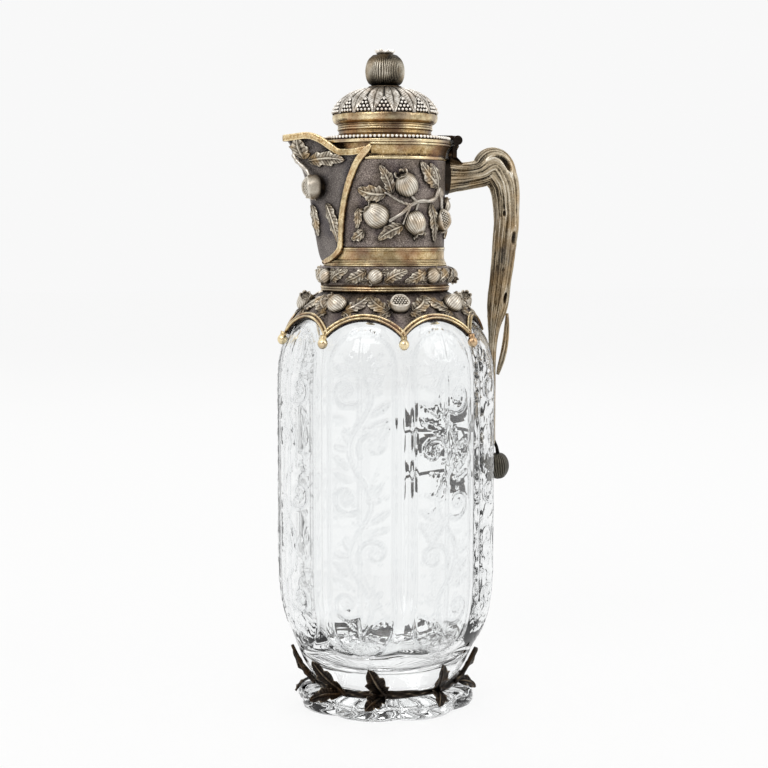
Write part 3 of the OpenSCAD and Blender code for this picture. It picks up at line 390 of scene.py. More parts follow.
def hang(base, tip, face, bow=0.0, twist=0.0):
    # a free leaf's place: x runs from base to tip, y across, h along the face, with a bow and a twist
    base, tip = np.array(base, float), np.array(tip, float)
    way = unit(tip - base)
    across = unit(np.cross(way, np.array(face, float)))
    out = np.cross(across, way)
    long = np.linalg.norm(tip - base)

    def place(x, y, h):
        turn = twist * x
        right = np.cos(turn)[..., None] * across + np.sin(turn)[..., None] * out
        top = np.cos(turn)[..., None] * out - np.sin(turn)[..., None] * across
        mid = base + (long * x)[..., None] * way + (bow * np.sin(np.pi * np.clip(x, 0, 1)))[..., None] * out
        return mid + y[..., None] * right + h[..., None] * top
    place.long = long
    return place


# ---- leaves and fruits ----
leafCut = {"teeth": 3, "bite": 0.38, "rib": 0.3, "full": 1.1}


def leaf(place, width, lift=0.9, cut=leafCut, thin=0.0, curl=0.5, shade=0.0):
    # A toothed leaf: half width w sin(pi u^0.8)^0.75, cut by a saw that grows towards the tip of each tooth. Its
    # top is a low crown with a midrib and rising, waving edges. thin is the thickness of a free leaf, and 0 is a
    # leaf that lies on its carrier. The fine veins come from the UV map, 0 to 1 across the top.
    rowsAt = np.linspace(0, 1, cut["teeth"] * 7 + 1)
    u = rowsAt[:, None]
    tooth = (u * cut["teeth"] + 0.12) % 1
    outline = np.sin(np.pi * np.clip(u, 0, 1) ** 0.8) ** 0.75
    notch = cut["bite"] * (1 - tooth) * smooth(u * 5) * smooth((1 - u) * 6)
    half = 0.16 + width / 2 * cut["full"] * outline * (1 - notch)
    s = np.linspace(-1, 1, 17)[None]
    body = np.sin(np.pi * (0.1 + 0.78 * u)) ** 0.6
    rib = bump(s, 0.1) - 0.6 * bump(np.abs(s) - 0.25, 0.1)
    fold = np.sin(2 * np.pi * (u * cut["teeth"] + 0.3)) * np.abs(s) ** 1.5
    relief = body * (lift * (1 - 0.45 * np.abs(s) ** 1.5) + curl * (0.22 * fold + 0.3 * s**4)) + (
        cut["rib"] * rib * smooth((1 - u) * 4))
    # the lift: dark beside the midrib, bright on the raised edges and folds, with painted shade at the base and, by
    # shade, over the whole leaf
    shine = np.clip(0.66 - 0.34 * bump(np.abs(s) - 0.22, 0.12) + 0.26 * smooth((np.abs(s) - 0.72) / 0.28)
                    + 0.16 * fold - 0.3 * bump(u, 0.12) - shade, 0, 1)
    y = half * s
    x = rowsAt[:, None] + 0 * s
    if thin:
        top, under = relief, relief - thin * (1 - 0.6 * s**2)
    else:
        top, under = relief + 0.15, np.full_like(relief, -0.25)
    points = np.concatenate([place(x, y, top), place(x, y, under)[:, ::-1]], 1)
    return surface(points, np.concatenate([shine, (0.7 if thin else 0) * shine[:, ::-1]], 1), size=(2, place.long))


def fruitFrame(axis):
    # three square unit vectors, the last along the axis
    w = unit(np.array(axis, float))
    helper = np.array([0, 0, 1.0]) if abs(w[2]) < 0.9 else np.array([1.0, 0, 0])
    u = unit(np.cross(helper, w))
    return u, np.cross(w, u), w


crownCut = {"points": 6, "foot": 0.4, "height": 0.32}


def crown(centre, axis, radius, cut=crownCut, seed=0):
    # the calyx: a cup that flares out of the fruit, its edge cut into broad sepals by |cos|, with a dark hollow
    u, v, w = fruitFrame(axis)
    q = np.arange(60) * 2 * np.pi / 60
    points = np.abs(np.cos(cut["points"] * q / 2 + seed)) ** 0.7
    edge = cut["height"] * (0.25 + 0.75 * points)
    rows = [(0.86, 0.78, 0, 0.0), (0.92, 0.9, 0.0, 0.05), (0.98, 0.93, 0.25, 0.3), (1.2, 0.95, 0.7, 0.8),
            (1.42, 0.96, 0.98, 0.85), (1.3, 0.96, 1.0, 0.95), (1.0, 0.95, 0.6, 0.25), (0.7, 0.93, 0.1, 0.0),
            (0.25, 0.93, 0.06, 0.0)]
    made, lifts = [], []
    for wide, low, up, shine in rows:
        r = radius * cut["foot"] * wide * (1 + 0.14 * (wide > 1.1) * (points - 0.5))
        h = radius * (low + edge * up)
        made.append(centre + r[:, None] * (np.cos(q)[:, None] * u + np.sin(q)[:, None] * v) + h[:, None] * w)
        lifts.append(np.full(60, shine))
    return surface(np.array(made), np.array(lifts), size=(0, 0))


fruitCut = {"ribs": 6, "swell": 0.025, "long": 1.06}


def fruit(centre, axis, radius, ground=None, cut=fruitCut, seed=0, hasCrown=True, around=64, rows=30):
    # A pomegranate: a ball drawn out a little along its axis, r = R (1 + swell cos(ribs q)), pinched at the stem
    # and shouldered under its crown. ground(points) is the height over the carrier, for the painted shade round its
    # foot.
    centre = np.array(centre, float)
    u, v, w = fruitFrame(axis)
    p = np.linspace(0.03, np.pi - 0.03, rows)[:, None]
    q = (np.arange(around) * 2 * np.pi / around)[None]
    r = radius * (1 + cut["swell"] * np.cos(cut["ribs"] * q + seed) * np.sin(p) + 0.05 * bump(p - 0.35, 0.3)
                  - 0.06 * bump(p - np.pi, 0.35) + 0.012 * waves(q * 2, p * 4, seed + 3))
    across, along = r * np.sin(p), r * np.cos(p) * cut["long"]
    points = (centre + (across * np.cos(q))[..., None] * u + (across * np.sin(q))[..., None] * v
              + (along * np.ones_like(q))[..., None] * w)
    # the lift: painted shade round the foot of the crown and at the stem end, and with ground where the fruit meets
    # its carrier
    shine = 0.92 - 0.5 * bump(p - 0.22, 0.16) - 0.45 * bump(p - np.pi, 0.3) + 0 * q
    if ground is not None:
        shine = shine - 0.9 * (1 - smooth(ground(points) / (0.6 * radius)))
    # the hatching of the metal has 30 lines to a turn of the UV map, so this size makes it 5 radius lines
    parts = [surface(points, np.clip(shine, 0, 1), size=(round(5 * radius) / 30, 1))]
    if hasCrown:
        parts.append(crown(centre, axis, radius, seed=seed))
    return parts


def heightOver(at, out, start):
    # how far points lie over a plane: (p - at) . out + start
    return lambda points: (points - at) @ out + start


splitCut = {"long": 0.92, "wide": 0.62, "deep": 0.42, "lip": 0.1, "seed": 0.5, "pitch": 1.3}


def splitFruit(centre, axis, opening, radius, ground=None, cut=splitCut, seed=0):
    # A fruit burst open. Its grid is laid round the opening's own axis: the first rings line the bed of seeds,
    # one ring follows the pointed oval edge, and the rest close the skin behind it.
    centre = np.array(centre, float)
    o = unit(np.array(opening, float))
    lengthWay = unit(np.array(axis, float) - np.dot(axis, o) * o)
    sideWay = np.cross(o, lengthWay)
    around = 64
    q = (np.arange(around) * 2 * np.pi / around)[None]
    edge = cut["wide"] / np.sqrt((cut["wide"] / cut["long"] * np.cos(q)) ** 2 + np.sin(q) ** 2)
    inside = np.linspace(0.05, 1, 9)[:, None]
    outside = np.linspace(0, 1, 26)[1:, None]
    angle = np.vstack([inside * edge, edge + outside * (np.pi - 0.04 - edge)])
    share = np.vstack([inside, 1 + outside * 6]) + 0 * q
    depth = np.where(share < 0.999, cut["deep"] * (1 - 0.55 * share**4), 0)
    lip = cut["lip"] * bump(share - 1.25, 0.3)
    r = radius * (1 - depth + lip + 0.02 * np.cos(6 * q + seed) * np.sin(angle))
    points = (centre + (r * np.sin(angle) * np.cos(q))[..., None] * lengthWay
              + (r * np.sin(angle) * np.sin(q))[..., None] * sideWay + (r * np.cos(angle))[..., None] * o)
    shine = np.where(share < 0.999, 0.04, 0.8) + 0.25 * bump(share - 1.2, 0.35)
    # painted shade where the fruit meets its carrier
    if ground is not None:
        shine = shine - 0.9 * (1 - smooth(ground(points) / (0.6 * radius)))
    parts = [surface(points, np.clip(shine, 0, 1), size=(0, 0))]
    pitch = cut["pitch"]
    i, j = np.meshgrid(np.arange(-9, 10), np.arange(-9, 10))
    a, b = (i + 0.5 * (j % 2)) * pitch, j * pitch * 0.87
    near = (a / (radius * cut["long"] * 0.86)) ** 2 + (b / (radius * cut["wide"] * 0.84)) ** 2 < 1
    a, b = a[near], b[near]
    high = np.sqrt(np.maximum((radius * (1 - cut["deep"] * 0.62)) ** 2 - 0.25 * (a * a + b * b), 0))
    seeds = centre + a[:, None] * lengthWay + b[:, None] * sideWay + high[:, None] * o
    parts.append(balls(seeds, cut["seed"], 8, 5))
    return parts


print("helpers ready")


# ---- materials ----
def tone(r, g, b):
    # a colour as a screen shows it, made linear
    return tuple(c / 255 / 12.92 if c < 10.3 else ((c / 255 + 0.055) / 1.055) ** 2.4 for c in (r, g, b)) + (1,)


def node(tree, kind, inputs=(), **settings):
    # a shader node with its settings, its inputs linked where they are sockets and set where they are values
    made = tree.nodes.new("ShaderNode" + kind)
    for key, value in settings.items():
        setattr(made, key, value)
    for key, value in dict(inputs).items():
        if isinstance(value, bpy.types.NodeSocket):
            tree.links.new(value, made.inputs[key])
        else:
            made.inputs[key].default_value = value
    return made


def calc(tree, operation, a, b=0.0, clamp=False):
    # one step of arithmetic
    return node(tree, "Math", {0: a, 1: b}, operation=operation, use_clamp=clamp).outputs[0]


def between(tree, value, fromLow, fromHigh, toLow, toHigh):
    # a value carried from one range to another, held at its ends
    return node(tree, "MapRange", {0: value, 1: fromLow, 2: fromHigh, 3: toLow, 4: toHigh}).outputs[0]


def blendColour(tree, share, a, b, way="MIX"):
    # colour a where share is 0 and b where it is 1, or their product
    return node(tree, "Mix", {0: share, 6: a, 7: b}, data_type="RGBA", blend_type=way).outputs[2]


def wave(tree, turn):
    # a sine that runs from 0 to 1
    made = calc(tree, "MULTIPLY_ADD", calc(tree, "SINE", turn), 0.5)
    made.node.inputs[2].default_value = 0.5
    return made


def swayed(tree, value, noise, amount):
    # a value moved up to amount either way by noise of 0 to 1
    return calc(tree, "ADD", value, calc(tree, "MULTIPLY", calc(tree, "SUBTRACT", noise, 0.5), 2 * amount))


def millimetres(tree, stretch=(1, 1, 1)):
    # object coordinates in millimetres, squeezed by stretch
    place = node(tree, "TexCoord").outputs["Object"]
    return node(tree, "Mapping", {"Vector": place, "Scale": [1000 * s for s in stretch]}).outputs[0]


def newMaterial(name):
    # a bare material with one shader
    material = bpy.data.materials.new(name)
    material.use_nodes = True
    tree = material.node_tree
    tree.nodes.clear()
    shader = node(tree, "BsdfPrincipled")
    out = node(tree, "OutputMaterial", {"Surface": shader.outputs[0]})
    return material, tree, shader, out


# What a user would change on a metal. cloud and grain are patch sizes in millimetres; mottle and speck say how
# much they shift the lift; rough is the roughness in the hollows and on the high places.
metals = {
    "brightSilver": {"low": (30, 28, 26), "mid": (150, 141, 128), "high": (252, 247, 238), "cloud": 5, "grain": 0.7,
                     "mottle": 0.14, "speck": 0.14, "rough": (0.6, 0.3), "bump": 0.05,
                     "films": [((196, 172, 146), 9, 0.3)]},
    "leafSilver": {"low": (28, 25, 23), "mid": (144, 133, 117), "high": (250, 242, 224), "cloud": 4, "grain": 0.7,
                   "mottle": 0.3, "speck": 0.24, "rough": (0.6, 0.32), "bump": 0.07, "veins": (1.9, 1.1, 0.36, 2.0),
                   "films": [((206, 172, 118), 6, 0.5), ((112, 104, 112), 8, 0.3)]},
    "fruitSilver": {"low": (32, 28, 25), "mid": (166, 156, 140), "high": (252, 246, 234), "cloud": 5, "grain": 0.6,
                    "mottle": 0.22, "speck": 0.16, "rough": (0.6, 0.4), "bump": 0.05, "hatch": (30, 0.36, 0.34),
                    "films": [((204, 178, 142), 8, 0.4)]},
    "mattedSilver": {"low": (30, 27, 26), "mid": (140, 129, 122), "high": (228, 216, 204), "cloud": 7, "grain": 0.5,
                     "mottle": 0.12, "speck": 0.6, "rough": (0.6, 0.44), "bump": 0.26,
                     "films": [((110, 98, 112), 9, 0.35), ((132, 118, 96), 12, 0.25)]},
    "shellSilver": {"low": (28, 26, 26), "mid": (124, 117, 113), "high": (206, 198, 190), "cloud": 8, "grain": 0.5,
                    "mottle": 0.1, "speck": 0.46, "rough": (0.55, 0.42), "bump": 0.2,
                    "films": [((90, 88, 102), 10, 0.35)]},
    "gilt": {"low": (40, 30, 21), "mid": (184, 154, 106), "high": (255, 238, 196), "cloud": 4, "grain": 0.8,
             "mottle": 0.34, "speck": 0.36, "rough": (0.48, 0.26), "bump": 0.14,
             "films": [((176, 128, 102), 11, 0.45), ((104, 94, 108), 15, 0.45), ((124, 118, 96), 9, 0.4)]},
    "hammeredGilt": {"low": (44, 33, 22), "mid": (190, 158, 108), "high": (255, 236, 192), "cloud": 3, "grain": 1.0,
                     "mottle": 0.34, "speck": 0.5, "rough": (0.48, 0.28), "bump": 0.4,
                     "films": [((188, 140, 108), 10, 0.4), ((124, 116, 96), 8, 0.35)]},
    "barkSilver": {"low": (38, 32, 26), "mid": (194, 179, 152), "high": (255, 250, 236), "cloud": 7, "grain": 0.6,
                   "mottle": 0.22, "speck": 0.3, "rough": (0.6, 0.34), "bump": 0.14,
                   "films": [((196, 160, 104), 12, 0.36), ((132, 128, 122), 18, 0.35)]},
    "finialSilver": {"low": (26, 23, 21), "mid": (150, 140, 122), "high": (255, 248, 232), "cloud": 4, "grain": 0.5,
                     "mottle": 0.26, "speck": 0.24, "rough": (0.6, 0.36), "bump": 0.1,
                     "films": [((176, 146, 100), 8, 0.3)]},
    "blackSilver": {"low": (13, 11, 10), "mid": (56, 49, 43), "high": (202, 182, 152), "cloud": 5, "grain": 0.6,
                    "mottle": 0.14, "speck": 0.18, "rough": (0.5, 0.34), "bump": 0.1,
                    "films": [((108, 80, 52), 8, 0.45)]},
}
metals["blackLeaf"] = dict(metals["blackSilver"], veins=(1.6, 1.0, 0.2, 2.0))
metals["blackFruit"] = dict(metals["blackSilver"], mid=(52, 49, 44), high=(112, 108, 96), films=[],
                            hatch=(30, 0.5, 0.5))


def metal(name, style, fixedLift=None):
    # Colour runs dark, middle, bright with the surface's lift, shifted by clouds and grain. Thin films of
    # tarnish lie over it in patches, and grain or curved hatching gives the fine relief.
    material, tree, shader, _ = newMaterial(name)
    place = millimetres(tree)
    cloud = node(tree, "TexNoise", {"Vector": place, "Scale": 1 / style["cloud"], "Detail": 3}).outputs[0]
    grain = node(tree, "TexNoise", {"Vector": place, "Scale": 1 / style["grain"], "Detail": 2}).outputs[0]
    if fixedLift is None:
        lift = node(tree, "Attribute", attribute_name="lift").outputs["Fac"]
    else:
        lift = node(tree, "Value").outputs[0]
        lift.default_value = fixedLift
    shifted = swayed(tree, swayed(tree, lift, cloud, style["mottle"]), grain, style["speck"])
    shifted.node.use_clamp = True
    height = grain
    if "hatch" in style:
        lines, dark, strength = style["hatch"]
        uv = node(tree, "SeparateXYZ", {0: node(tree, "TexCoord").outputs["UV"]})
        turn = swayed(tree, calc(tree, "MULTIPLY", uv.outputs[0], lines * 2 * math.pi), cloud, 1.5)
        line = wave(tree, turn)
        shifted = calc(tree, "SUBTRACT", shifted, calc(tree, "MULTIPLY", line, dark), clamp=True)
        height = calc(tree, "SUBTRACT", height, calc(tree, "MULTIPLY", line, strength * 4))
    if "veins" in style:
        # slanting veins and a midrib, drawn over the UV map: u is 0 to 1 across the top, v runs in millimetres
        pitch, slant, dark, strength = style["veins"]
        uv = node(tree, "SeparateXYZ", {0: node(tree, "TexCoord").outputs["UV"]})
        side = calc(tree, "ABSOLUTE", calc(tree, "SUBTRACT", calc(tree, "MULTIPLY", uv.outputs[0], 2.0), 1.0))
        phase = calc(tree, "SUBTRACT", calc(tree, "MULTIPLY", uv.outputs[1], 2 * math.pi / pitch),
                     calc(tree, "MULTIPLY", side, 2 * math.pi * slant))
        vein = calc(tree, "POWER", wave(tree, phase), 3.0)
        vein = calc(tree, "MULTIPLY", vein, between(tree, side, 0.12, 0.3, 0.0, 1.0))
        rib = between(tree, side, 0.05, 0.14, 1.0, 0.0)
        shifted = calc(tree, "ADD", calc(tree, "SUBTRACT", shifted, calc(tree, "MULTIPLY", vein, dark)),
                       calc(tree, "MULTIPLY", rib, 0.3), clamp=True)
        height = calc(tree, "SUBTRACT", height, calc(tree, "MULTIPLY", vein, strength))
    ramp = node(tree, "ValToRGB", {0: shifted})
    ramp.color_ramp.elements[0].color = tone(*style["low"])
    ramp.color_ramp.elements[0].position = 0.06
    ramp.color_ramp.elements[1].color = tone(*style["high"])
    ramp.color_ramp.elements.new(0.5).color = tone(*style["mid"])
    colour = ramp.outputs[0]
    for k, (film, size, share) in enumerate(style["films"]):
        moved = node(tree, "Mapping", {"Vector": place, "Location": (17 * k + 5, 9 * k, 31 * k)}).outputs[0]
        patch = node(tree, "TexNoise", {"Vector": moved, "Scale": 1 / size, "Detail": 2}).outputs[0]
        mask = between(tree, patch, 0.5, 0.68, 0.0, share)
        tinted = blendColour(tree, mask, colour, tone(*film), "MULTIPLY")
        colour = blendColour(tree, calc(tree, "MULTIPLY", mask, 0.5), tinted, tone(*film))
    tree.links.new(colour, shader.inputs["Base Color"])
    shader.inputs["Metallic"].default_value = 1.0
    tree.links.new(between(tree, shifted, 0, 1, *style["rough"]), shader.inputs["Roughness"])
    relief = node(tree, "Bump", {"Height": height, "Strength": 1.0, "Distance": style["bump"] * mm})
    tree.links.new(relief.outputs[0], shader.inputs["Normal"])
    return material


finish = {name: metal(name, style) for name, style in metals.items()}
plainSilver = metal("plainSilver", metals["brightSilver"], fixedLift=0.6)
plainDark = metal("plainDark", metals["blackSilver"], fixedLift=0.35)
plainGilt = metal("plainGilt", metals["gilt"], fixedLift=0.6)

glassLook = {"colour": (251, 252, 252), "cutColour": (214, 217, 219), "ior": 1.5, "cutRough": 0.06}


def glassMaterial():
    # clear glass that bends light; the engraving is a little frosted, and lamps pass straight through
    material, tree, shader, out = newMaterial("cutGlass")
    shader.inputs["Transmission Weight"].default_value = 1.0
    shader.inputs["IOR"].default_value = glassLook["ior"]
    cut = node(tree, "Attribute", attribute_name="lift").outputs["Fac"]
    place = millimetres(tree)
    grain = node(tree, "TexNoise", {"Vector": place, "Scale": 1.4, "Detail": 2}).outputs[0]
    tinted = blendColour(tree, cut, tone(*glassLook["colour"]), tone(*glassLook["cutColour"]))
    tree.links.new(tinted, shader.inputs["Base Color"])
    tree.links.new(between(tree, cut, 0, 1, 0.0, glassLook["cutRough"]), shader.inputs["Roughness"])
    height = calc(tree, "MULTIPLY", grain, cut)
    relief = node(tree, "Bump", {"Height": height, "Strength": 0.6, "Distance": 0.1 * mm})
    tree.links.new(relief.outputs[0], shader.inputs["Normal"])
    lamps = node(tree, "LightPath").outputs["Is Shadow Ray"]
    clear = node(tree, "BsdfTransparent", {0: tone(244, 246, 246)})
    mixed = node(tree, "MixShader", {0: lamps, 1: shader.outputs[0], 2: clear.outputs[0]})
    tree.links.new(mixed.outputs[0], out.inputs["Surface"])
    return material


def plasterMaterial():
    # white, with a fine grain
    material, tree, shader, _ = newMaterial("plaster")
    grain = node(tree, "TexNoise", {"Vector": millimetres(tree), "Scale": 0.8, "Detail": 4}).outputs[0]
    tree.links.new(blendColour(tree, grain, tone(214, 206, 190), tone(238, 232, 220)), shader.inputs["Base Color"])
    shader.inputs["Roughness"].default_value = 0.9
    return material


cutGlass, plaster = glassMaterial(), plasterMaterial()
print("materials made")


# ---- the glass: eight upright pillars round a cup, on a lobed foot ----
glass = {"panels": 8, "offset": 22.0, "pillarR": 32.0, "cupR": 50.6, "waistR": 33.0, "waistZ": 11.5,
         "cavityR": 46.6, "cavityFloor": 22.0, "neckR": 26.8, "boreR": 23.0,
         "neckTop": highOf("glass_vessel"), "bottom": (75.0, 22.0), "arch": (150.0, 194.0),
         "unroll": 52.0,     # the radius at which a panel's angle is measured in millimetres for its engraving
         "softEnds": 1.2,    # how softly the pillars' round ends run into the cup
         "flute": 0.5,       # the ripple of the foot's edge, three waves to a lobe
         # the foot's own outline, (height, radius at the middle of a lobe)
         "foot": [(0.0, 42.6), (0.25, 43.4), (0.9, 44.0), (2.2, 44.1), (3.6, 44.1), (5.0, 44.0), (5.8, 43.7),
                  (6.5, 42.9), (7.1, 41.4), (7.7, 39.3), (8.2, 36.9), (8.7, 34.6), (9.2, 33.3), (10.2, 33.0),
                  (11.5, 33.0)]}
engraved = {"half": 16.6, "low": 32.0, "high": 187.0, "depth": 0.6}


def strokeDepth(s, t, path, width, depth, taper=0.0):
    # a round groove along a drawn line: depth (1 - (distance / half width)^2), narrowing along it by taper
    path = np.asarray(path, float)
    near = np.full(s.shape, 1e9)
    for k, (a, b) in enumerate(zip(path[:-1], path[1:])):
        run = b - a
        share = np.clip(((s - a[0]) * run[0] + (t - a[1]) * run[1]) / max(run @ run, 1e-9), 0, 1)
        half = width / 2 * (1 - taper * (k + share) / (len(path) - 1))
        near = np.minimum(near, np.hypot(s - a[0] - share * run[0], t - a[1] - share * run[1]) / half)
    return depth * np.clip(1 - near**2, 0, 1)


def leafDepth(s, t, base, tip, width, depth):
    # a cut leaf, deepest along its midrib, with a toothed edge
    base, tip = np.array(base, float), np.array(tip, float)
    run = tip - base
    long = np.hypot(*run)
    x = ((s - base[0]) * run[0] + (t - base[1]) * run[1]) / long**2
    y = np.abs((t - base[1]) * run[0] - (s - base[0]) * run[1]) / long
    half = width / 2 * np.sin(np.pi * np.clip(x, 0, 1)) ** 0.7 * (0.8 + 0.2 * np.cos(2 * np.pi * 4 * x))
    inside = np.clip(1 - y / np.maximum(half, 0.05), 0, 1)
    return depth * inside**0.7 * (0.75 + 0.25 * np.cos(2 * np.pi * (4 * x - y)))


def flowerDepth(s, t, at, radius, petals, depth, turn=0.0):
    # a rosette: petals by |cos| round a raised button
    r, q = np.hypot(s - at[0], t - at[1]), np.arctan2(t - at[1], s - at[0])
    edge = radius * (0.62 + 0.38 * np.abs(np.cos(petals * q / 2 + turn)))
    petal = np.clip(1 - r / edge, 0, 1) ** 0.5 * (0.55 + 0.45 * np.abs(np.cos(petals * q / 2 + turn)))
    button = radius * 0.22
    return depth * np.where(r < button, np.clip(1 - r / button, 0, 1) * 0.6, petal * (r > radius * 0.26))


def spiral(at, radius, turns, start, hand):
    # a scroll that winds in: its radius falls as its angle grows
    k = np.linspace(0, 1, int(18 * turns) + 2)
    q = start + hand * 2 * np.pi * turns * k
    r = radius * (1 - 0.86 * k**0.8)
    return np.stack([at[0] + r * np.cos(q), at[1] + r * np.sin(q)], 1)


def engraving(s, t, kind):
    # One panel's engraving as depth below the surface, over s across and t up: a border, a waving stem, scrolls
    # that end in rosettes, toothed leaves, bunches of berries and a rayed flower head.
    half, low, high = engraved["half"], engraved["low"], engraved["high"]
    edge = half - np.hypot(s, np.clip(low + half - t, 0, None) + np.clip(t - high + half, 0, None))
    border = 0.8 * bump(edge - 0.9, 0.5) * (edge > -0.6)
    hand = 1 if kind % 2 else -1
    stemT = np.linspace(44, 170, 60)
    stemS = hand * 5.2 * np.sin(2 * np.pi * (stemT - 44) / 50)
    cuts = [border, strokeDepth(s, t, np.stack([stemS, stemT], 1), 1.7, 0.75)]
    for k in range(5):
        mid = 56.5 + 25 * k
        side = hand * (-1) ** k
        centre = (-side * 6.6, mid + (2 if kind % 3 else -1))
        if mid < 165:
            start = (0 if side > 0 else np.pi) - side * 0.7
            scroll = spiral(centre, 8.2, 1.25, start, side * (1 if k % 2 else -1))
            cuts += [strokeDepth(s, t, scroll, 1.9, 0.95, 0.45), flowerDepth(s, t, centre, 3.4, 6 + k % 3, 0.9, k)]
        for turn, long in ((0.5, 8.5), (1.5, 7.0), (2.5, 8.0)):
            q = side * turn + (np.pi / 2 if k % 2 else -np.pi / 2) + 0.4 * kind
            base = (side * 4.4 + 1.5 * math.cos(q), mid + 3 * math.sin(q))
            tip = (base[0] + side * long * abs(math.cos(q)) * 0.9, base[1] + long * math.sin(q))
            cuts.append(leafDepth(s, t, base, tip, 4.2, 1.0))
        cuts += [leafDepth(s, t, (side * 5, mid - 9), (side * 13.6, mid - 3), 4.6, 1.0),
                 leafDepth(s, t, (-side * 4, mid + 10), (-side * 13.4, mid + 14), 4.4, 1.0)]
    bunchS, bunchT = hand * 7.4, 141.0 if kind % 2 else 96.0
    for row in range(5):
        for k in range(5 - row):
            away = (s - bunchS - (k - (4 - row) / 2) * 2.5) ** 2 + (t - bunchT + row * 2.2) ** 2
            cuts.append(0.8 * np.sqrt(np.clip(1 - away / 1.5, 0, 1)))
    # rays of leaves: the middle of each fan, its first and last angle, their count, and where they start and end
    for at, angles, count, start, end in (((0, 168), (-0.2, np.pi + 0.2), 9, (3, 3), (10.5, 9.5)),
                                          ((0, 45), (np.pi + 0.3, 2 * np.pi - 0.3), 6, (2, 2), (9.5, 9))):
        for q in np.linspace(*angles, count):
            ray = np.array([math.cos(q), math.sin(q)])
            cuts.append(leafDepth(s, t, at + ray * start, at + ray * end, 3.2, 0.9))
    cuts.append(flowerDepth(s, t, (0, 168), 3.2, 8, 0.8))
    deep = np.maximum.reduce(cuts)
    return deep * smooth(edge / 1.4) + border * (edge < 0.9)


def lobeRadius(delta, radius):
    # the outside of a pillar of that radius, offset from the axis, seen delta from its own middle
    side = glass["offset"] * np.sin(np.radians(delta))
    inside = radius**2 - side**2
    return np.where(inside > 0, glass["offset"] * np.cos(np.radians(delta)) + np.sqrt(np.maximum(inside, 0)), 0)


def glassOutline(z):
    # the plain outline between the pillars: foot, waist, cup, straight wall and shoulder
    under = shoulder["t"] + 0.06
    neckStart = np.array(shoulderPoint(1.0, -under))
    cup = bezier(np.array([[glass["waistR"], glass["waistZ"]], [glass["waistR"] + 12, glass["waistZ"] + 8.5],
                           [glass["cupR"], glass["waistZ"] + 46.5]]), np.linspace(0, 1, 30))[0]
    upper = bezier(np.array([[glass["cupR"], shoulder["tipZ"] - 18], [glass["cupR"] - 0.2, shoulder["tipZ"] - 8],
                             neckStart]), np.linspace(0, 1, 12))[0]
    top = np.stack(shoulderPoint(np.linspace(0.98, 0, 24), -under), 1)
    line = np.vstack([cup, upper, top])
    return np.interp(z, line[:, 1], line[:, 0])


